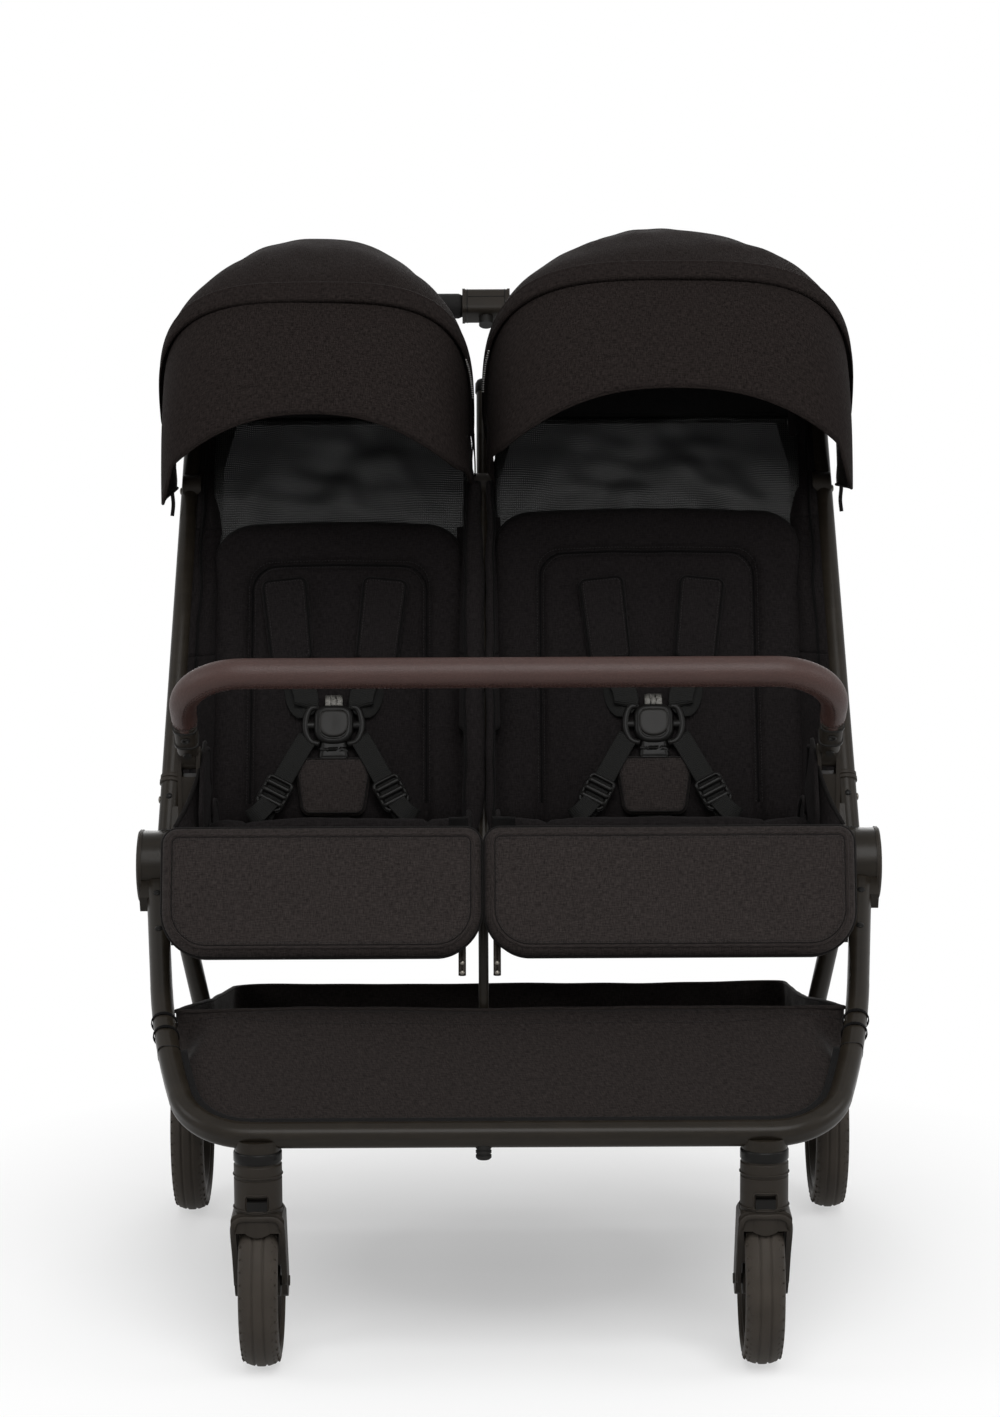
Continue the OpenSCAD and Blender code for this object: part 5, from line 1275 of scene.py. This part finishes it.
for side, seat in seats.items():
    mid = sum(seat["back"]) / 2
    body = "seat_back_" + side
    pads, parts = [], []
    for m in (-1, 1):
        onSide = lambda points: [onBack(mid + m * u, v, n) for u, v, n in points]
        spec = dict(padSpec, at=(mid + m * 50, 238), turn=m * -6, seed=83 + m)
        pads.append(padPiece("shoulderPad", spec, onBack, "seat"))
        parts += edging("shoulder", spec, 2.6, 1.2, 0.4, "shade", 5.4)
        for name, (section, step, points) in webSpec.items():
            if name == "waistTail":
                parts += adjuster((mid + m * 62, 44), m * radians(28), 13.5)
            parts.append(sweepPiece(name, smoothPath(onSide(points), step), section, "web", facing=outOf))
    spec = dict(crotchSpec, at=(mid, 54))
    pads.append(padPiece("crotchPad", spec, onBack, "leg"))
    parts += edging("crotch", spec, 2.4, 1.0, 0.2, "binding", 5.2)
    tongue = smoothPath([onBack(mid, 44, 3.2), onBack(mid, 30, 3.0), onBack(mid, 18, 1.5)], 3)
    parts.append(sweepPiece("crotchStrap", tongue, (36, 2.0), "web", facing=outOf))
    stuffed = ride(joined("harnessPads_" + side, pads), body, ["harness_" + side])
    ride(joined("harnessStraps_" + side, parts), body)

    # buckle: domed shell, side hooks that hold the straps, a neck down to the crotch pad and a pale tab on top
    shell = dict(buckleSpec, at=(mid, 121))
    neck = dict(shell, w=30, h=22, t=9, top=4, low=4, at=(mid, 94), taper=-0.2)
    parts = [padPiece("buckleShell", shell, onBack, "gloss"), padPiece("buckleNeck", neck, onBack, "gloss"),
             sweepPiece("buckleLip", padRun(shell, onBack, 6.5, 0.3), roundSection(0.7, 6), "button", closed=True)]
    neckBar = evenly([onBack(mid - 14, 84.5, 8), onBack(mid + 14, 84.5, 8)], 2)
    parts.append(sweepPiece("neckBar", neckBar, roundSection(1.9, 10), "gloss", facing=outOf))
    for m in (-1, 1):
        hook = smoothPath(onSide(hookLine), 2)
        parts.append(sweepPiece("buckleHook", hook, roundSection(1.0, 12) * (3.6, 3.0), "gloss", facing=outOf))
        lug = evenly(onSide(((20, 121, 8), (30, 121, 9))), 2)
        parts.append(sweepPiece("buckleLug", lug, roundSection(1.0, 12) * (4.2, 2.4), "gloss", facing=outOf))
    ride(joined("buckleBody_" + side, parts), body, ["buckle_" + side])
    ride(padPiece("buckleTab_" + side, dict(tabSpec, at=(mid, 145.5)), onBack, "grey"), body)
    plate = dict(shell, w=32, h=30, t=4.2, top=9, low=14, at=(mid, 121.5), lift=10.2, roll=3)
    ride(padPiece("bucklePlate_" + side, plate, onBack, "button"), "buckle_button_" + side,
         ["buckle_button_" + side])
print("harness done")

# foam grips on the handlebar
handle = {"s": 685, "reach": 272, "casing": (-48.5, 4.5)}
parts = []
for a, c in ((-handle["reach"], handle["casing"][0]), (handle["casing"][1], handle["reach"])):
    run = evenly([onPush(a, handle["s"], 0), onPush(c, handle["s"], 0)], 4)
    rounded = 0.86 + 0.14 * rollOver(fromEnds(run, 4.0), 6)
    parts.append(sweepPiece("grip", run, roundSection(14, 32), "foam", scale=rounded))
ride(joined("handleGrips", parts), "push_frame", ["handle_grips"])

# hardware: collars over the castors, seam rings, rivets and screws
castorX, castorY = 241, -368
collarProfile = [(20.0, 0), (22.6, 0.2), (23.2, 1.2), (23.2, 9.0), (22.4, 10.6), (20.0, 11)]
shoulderProfile = [(19.0, 0), (22.4, 0.2), (22.6, 1.4), (20.4, 6.0), (17.0, 8.4), (15.0, 9)]
capProfile = [(0.1, 6.2), (4.0, 5.8), (7.0, 4.0), (8.4, 0.5), (8.4, -10), (7.4, -11), (5.0, -11)]
squared = lambda value, size: size * np.sign(value) * abs(value) ** 0.6
parts = []
for sign in (-1, 1):
    x = sign * castorX
    parts += [lathePiece("castorCollar", collarProfile, (x, castorY, 212.5), (0, 0, 1), "gloss", 64),
              lathePiece("bossShoulder", shoulderProfile, (x, castorY + 1, 224.5), (0, 0, 1), "tube", 64)]
    seam = [onLoop(sign * (loopSide(300) + squared(cos(a), 11.3)), -300, squared(sin(a), 12.3)) for a in around(28)]
    parts.append(sweepPiece("loopSeam", seam, roundSection(0.55, 6), "gloss", closed=True))
heads = [onLoop(sign * loopSide(l), -l, 12.0) for sign in (-1, 1) for l in (60, 118)]
parts.append(domedHeads("loopRivets", heads, [faceOf(onLoop)] * len(heads), 4.2, 1.6, "gloss"))
ride(joined("frameHardware", parts), "front_frame")

outFace = faceOf(onPush)
headsAt = [(sign, s) for sign in (-1, 1) for s in (76, 448)]
rivets = [onPush(sign * tubeX(s), s, 10.0) for sign, s in headsAt]
screws = [onPush(sign * (tubeX(s) + 10.0), s, 0) for sign, s in headsAt]
parts = [domedHeads("tubeRivets", rivets, [outFace] * len(rivets), 3.4, 1.6, "gloss"),
         domedHeads("tubeScrews", screws, [(sign, 0, 0) for sign, s in headsAt], 4.0, 1.8, "trimMetal")]
for sign in (-1, 1):
    for s, swell in ((96, 1.6), (101, 1.1), (556, 2.4), (561, 1.8)):
        run = evenly([onPush(sign * tubeX(l), l, 0) for l in (s - 2.0, s + 2.0)], 1)
        parts.append(sweepPiece("tubeRing", run, roundSection(10 + swell, 40), "plastic", facing=(1.0, 0, 0)))
parts.append(lathePiece("postCap", capProfile, onPush(divideX, 582, 0), onPush(0, 1, 0) - onPush(0, 0, 0), "gloss", 32))
ride(joined("handleHardware", parts), "push_frame")

# fold casing: a squarish shell of two halves, with a lip at either end
casingRuns = ((-48, 4, 31.0, "plastic"), (-48.5, -45.5, 32.2, "plastic"), (1.5, 4.5, 32.2, "plastic"),
              (-43.6, -42.4, 31.5, "gloss"), (-1.6, -0.4, 31.5, "gloss"))
parts = []
for a, c, size, look in casingRuns:
    run = evenly([onPush(a, handle["s"], 0), onPush(c, handle["s"], 0)], 1.0 if c - a < 5 else 3.0)
    parts.append(sweepPiece("casingShell", run, boxSection(size, size, 7), look, facing=outFace))
for n in (15.4, -15.4):
    rib = evenly([onPush(x, handle["s"] + 3, n) for x in (-42, -2)], 3)
    parts.append(sweepPiece("casingSeam", rib, roundSection(0.6, 6), "gloss", facing=outFace))
ride(joined("foldCasing", parts), "push_frame", ["fold_housing"])

# tyres: a round section with a groove either side of the middle, and shoulder marks that lean
wheels = (("front", castorX, -330, 82, 38), ("rear", 350, 205, 95, 36))
tyreSpec = {"depth": 15, "shoulder": 13.5, "square": 2.25, "grooveAt": 5.2, "grooveDeep": 1.5, "grooveWide": 1.1}
for end, fromMid, y, r, wide in wheels:
    for side, sign in sides.items():
        t, x, half = tyreSpec, sign * fromMid, wide / 2
        body = "%s_wheel_%s" % (end, side)
        turn = around(144)
        circle = lambda off, rad: np.stack([np.full(144, x + off), y + rad * np.cos(turn), r + rad * np.sin(turn)], 1)
        arc = np.linspace(-pi / 2, pi / 2, 61)
        across = half * np.sign(np.sin(arc)) * np.abs(np.sin(arc)) ** (2 / t["square"])
        height = t["shoulder"] * np.abs(np.cos(arc)) ** (2 / t["square"]) - t["shoulder"]
        height = height - t["grooveDeep"] * np.exp(-((np.abs(across) - t["grooveAt"]) / t["grooveWide"]) ** 4)
        section = np.concatenate([[(3 - half, -t["depth"])], np.stack([across, height], 1), [(half - 3, -t["depth"])]])
        tyre = sweepPiece("tyre_" + body, circle(0, r), section, "tyre", facing=circle(0, r) - (x, y, r), closed=True)
        ride(tyre, body, ["%s_tyre_%s" % (end, side)])
        parts = []
        for m in (-1, 1):
            parts += [beadRows("treadMark", [circle(m * half * 0.60, r - 3.7)], 9.0, (4.6, 1.6, 1.0), "tyre",
                               lean=m * 0.75, cyclic=True),
                      beadRows("treadScallop", [circle(m * half * 0.90, r - 8.2)], 12.0, (1.3, 4.6, 1.2), "tyre",
                               lean=m * 0.4, cyclic=True)]
        ride(joined("tread_" + body, parts), body)

# castors: a raised arch round the fork's opening, a rim round the lock's window
castorSpec = {"leg": [(-23.2, -347.5, 84), (-23.2, -366, 116), (-23.2, -388.6, 150), (-20.5, -389, 157.5),
                      (-14, -389.2, 160.5), (0, -391.4, 161)],
              "lock": (23, 17.5, 4, 4, 0, 1.5), "lockZ": 175.2, "r": 23.2, "rings": ((200.2, 23.3), (168.0, 23.6))}
for side, sign in sides.items():
    x, leg = sign * castorX, castorSpec["leg"]
    run = smoothPath(np.array(leg + [(-u, v, w) for u, v, w in leg[::-1][1:]]) + (x, 0, 0), 3)
    parts = [sweepPiece("forkArch", run, roundSection(1.0, 12) * (2.9, 1.8), "plastic", facing=(0, -1.0, 0.3))]
    lockRun = [(x + u, castorY - sqrt(castorSpec["r"] ** 2 - u ** 2), castorSpec["lockZ"] + v)
               for u, v, w in padOutline(*castorSpec["lock"])]
    parts.append(sweepPiece("lockRim", lockRun, 0.9, "plastic", facing=(0, -1.0, 0), closed=True))
    for z, r in castorSpec["rings"]:
        ring = [(x + r * cos(a), castorY + r * sin(a), z) for a in around(64)]
        parts.append(sweepPiece("sleeveRing", ring, 0.7, "plastic", facing=(0, 0, 1.0), closed=True))
    ride(joined("castorTrim_" + side, parts), "castor_" + side)
print("hardware done")

# studio: a pale floor that glows white away from the stroller; near it lit paint takes the stroller's shadow and greys
# as the glow gives way, painted shade round the stroller; soft lamps
floorPaint = Paint("floor")
tree = floorPaint.tree
tree.nodes.remove(floorPaint.shader)
at = floorPaint.place()
far = floorPaint.node("ShaderNodeVectorMath", {"operation": "LENGTH"}, {0: at}, "Value")
# the glow's share grows with distance from the middle: less of it near the stroller is painted shade there
fade = floorPaint.span(far, 0.15, 0.82, 0.25, 1.0)
matt = floorPaint.node("ShaderNodeBsdfDiffuse", {}, {"Color": (0.86, 0.86, 0.86, 1)}, "BSDF")
glow = floorPaint.node("ShaderNodeEmission", {}, {"Color": (1, 1, 1, 1), "Strength": 1.0}, "Emission")
mixed = floorPaint.node("ShaderNodeMixShader", {}, {0: fade * floorPaint.seen(), 1: matt, 2: glow}, "Shader")
tree.links.new(mixed.sock, tree.nodes["Material Output"].inputs["Surface"])
floorMesh = bpy.data.meshes.new("floor")
floorMesh.from_pydata([(-30, -30, 0), (30, -30, 0), (30, 30, 0), (-30, 30, 0)], [], [(0, 1, 2, 3)])
floorMesh.materials.append(floorPaint.material)
floor = linked("floor", floorMesh)
floor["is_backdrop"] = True

world = bpy.data.worlds.new("studio")
world.use_nodes = True
studio.world = world
sky = Paint("studio", world.node_tree)
backdrop = world.node_tree.nodes["Background"]
backdrop.inputs["Color"].default_value = (1, 1, 1, 1)
sky.feed(backdrop.inputs["Strength"], sky.span(sky.seen(), 0.0, 1.0, 0.42, 1.0))

lamps = [("keyLamp", (0.3, -2.55, 3.0), (0, 0, 0.6), 98, 2.4), ("leftLamp", (-3.2, -0.9, 1.9), (0, 0, 0.6), 24, 1.6),
         ("rightLamp", (3.2, -0.9, 1.9), (0, 0, 0.6), 24, 1.6), ("backLamp", (0, 3.2, 1.7), (0, 0, 0.7), 38, 2.0)]
for name, place, aim, power, size in lamps:
    data = bpy.data.lights.new(name, "AREA")
    data.energy, data.size = power, size
    lamp = bpy.data.objects.new(name, data)
    lamp.location = place
    lamp.rotation_euler = (Vector(aim) - Vector(place)).to_track_quat("-Z", "Y").to_euler()
    studio.collection.objects.link(lamp)
print("studio done")

low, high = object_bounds()
{"cad": [list(cadBox[0]), list(cadBox[1])], "visual": [list(low), list(high)]}
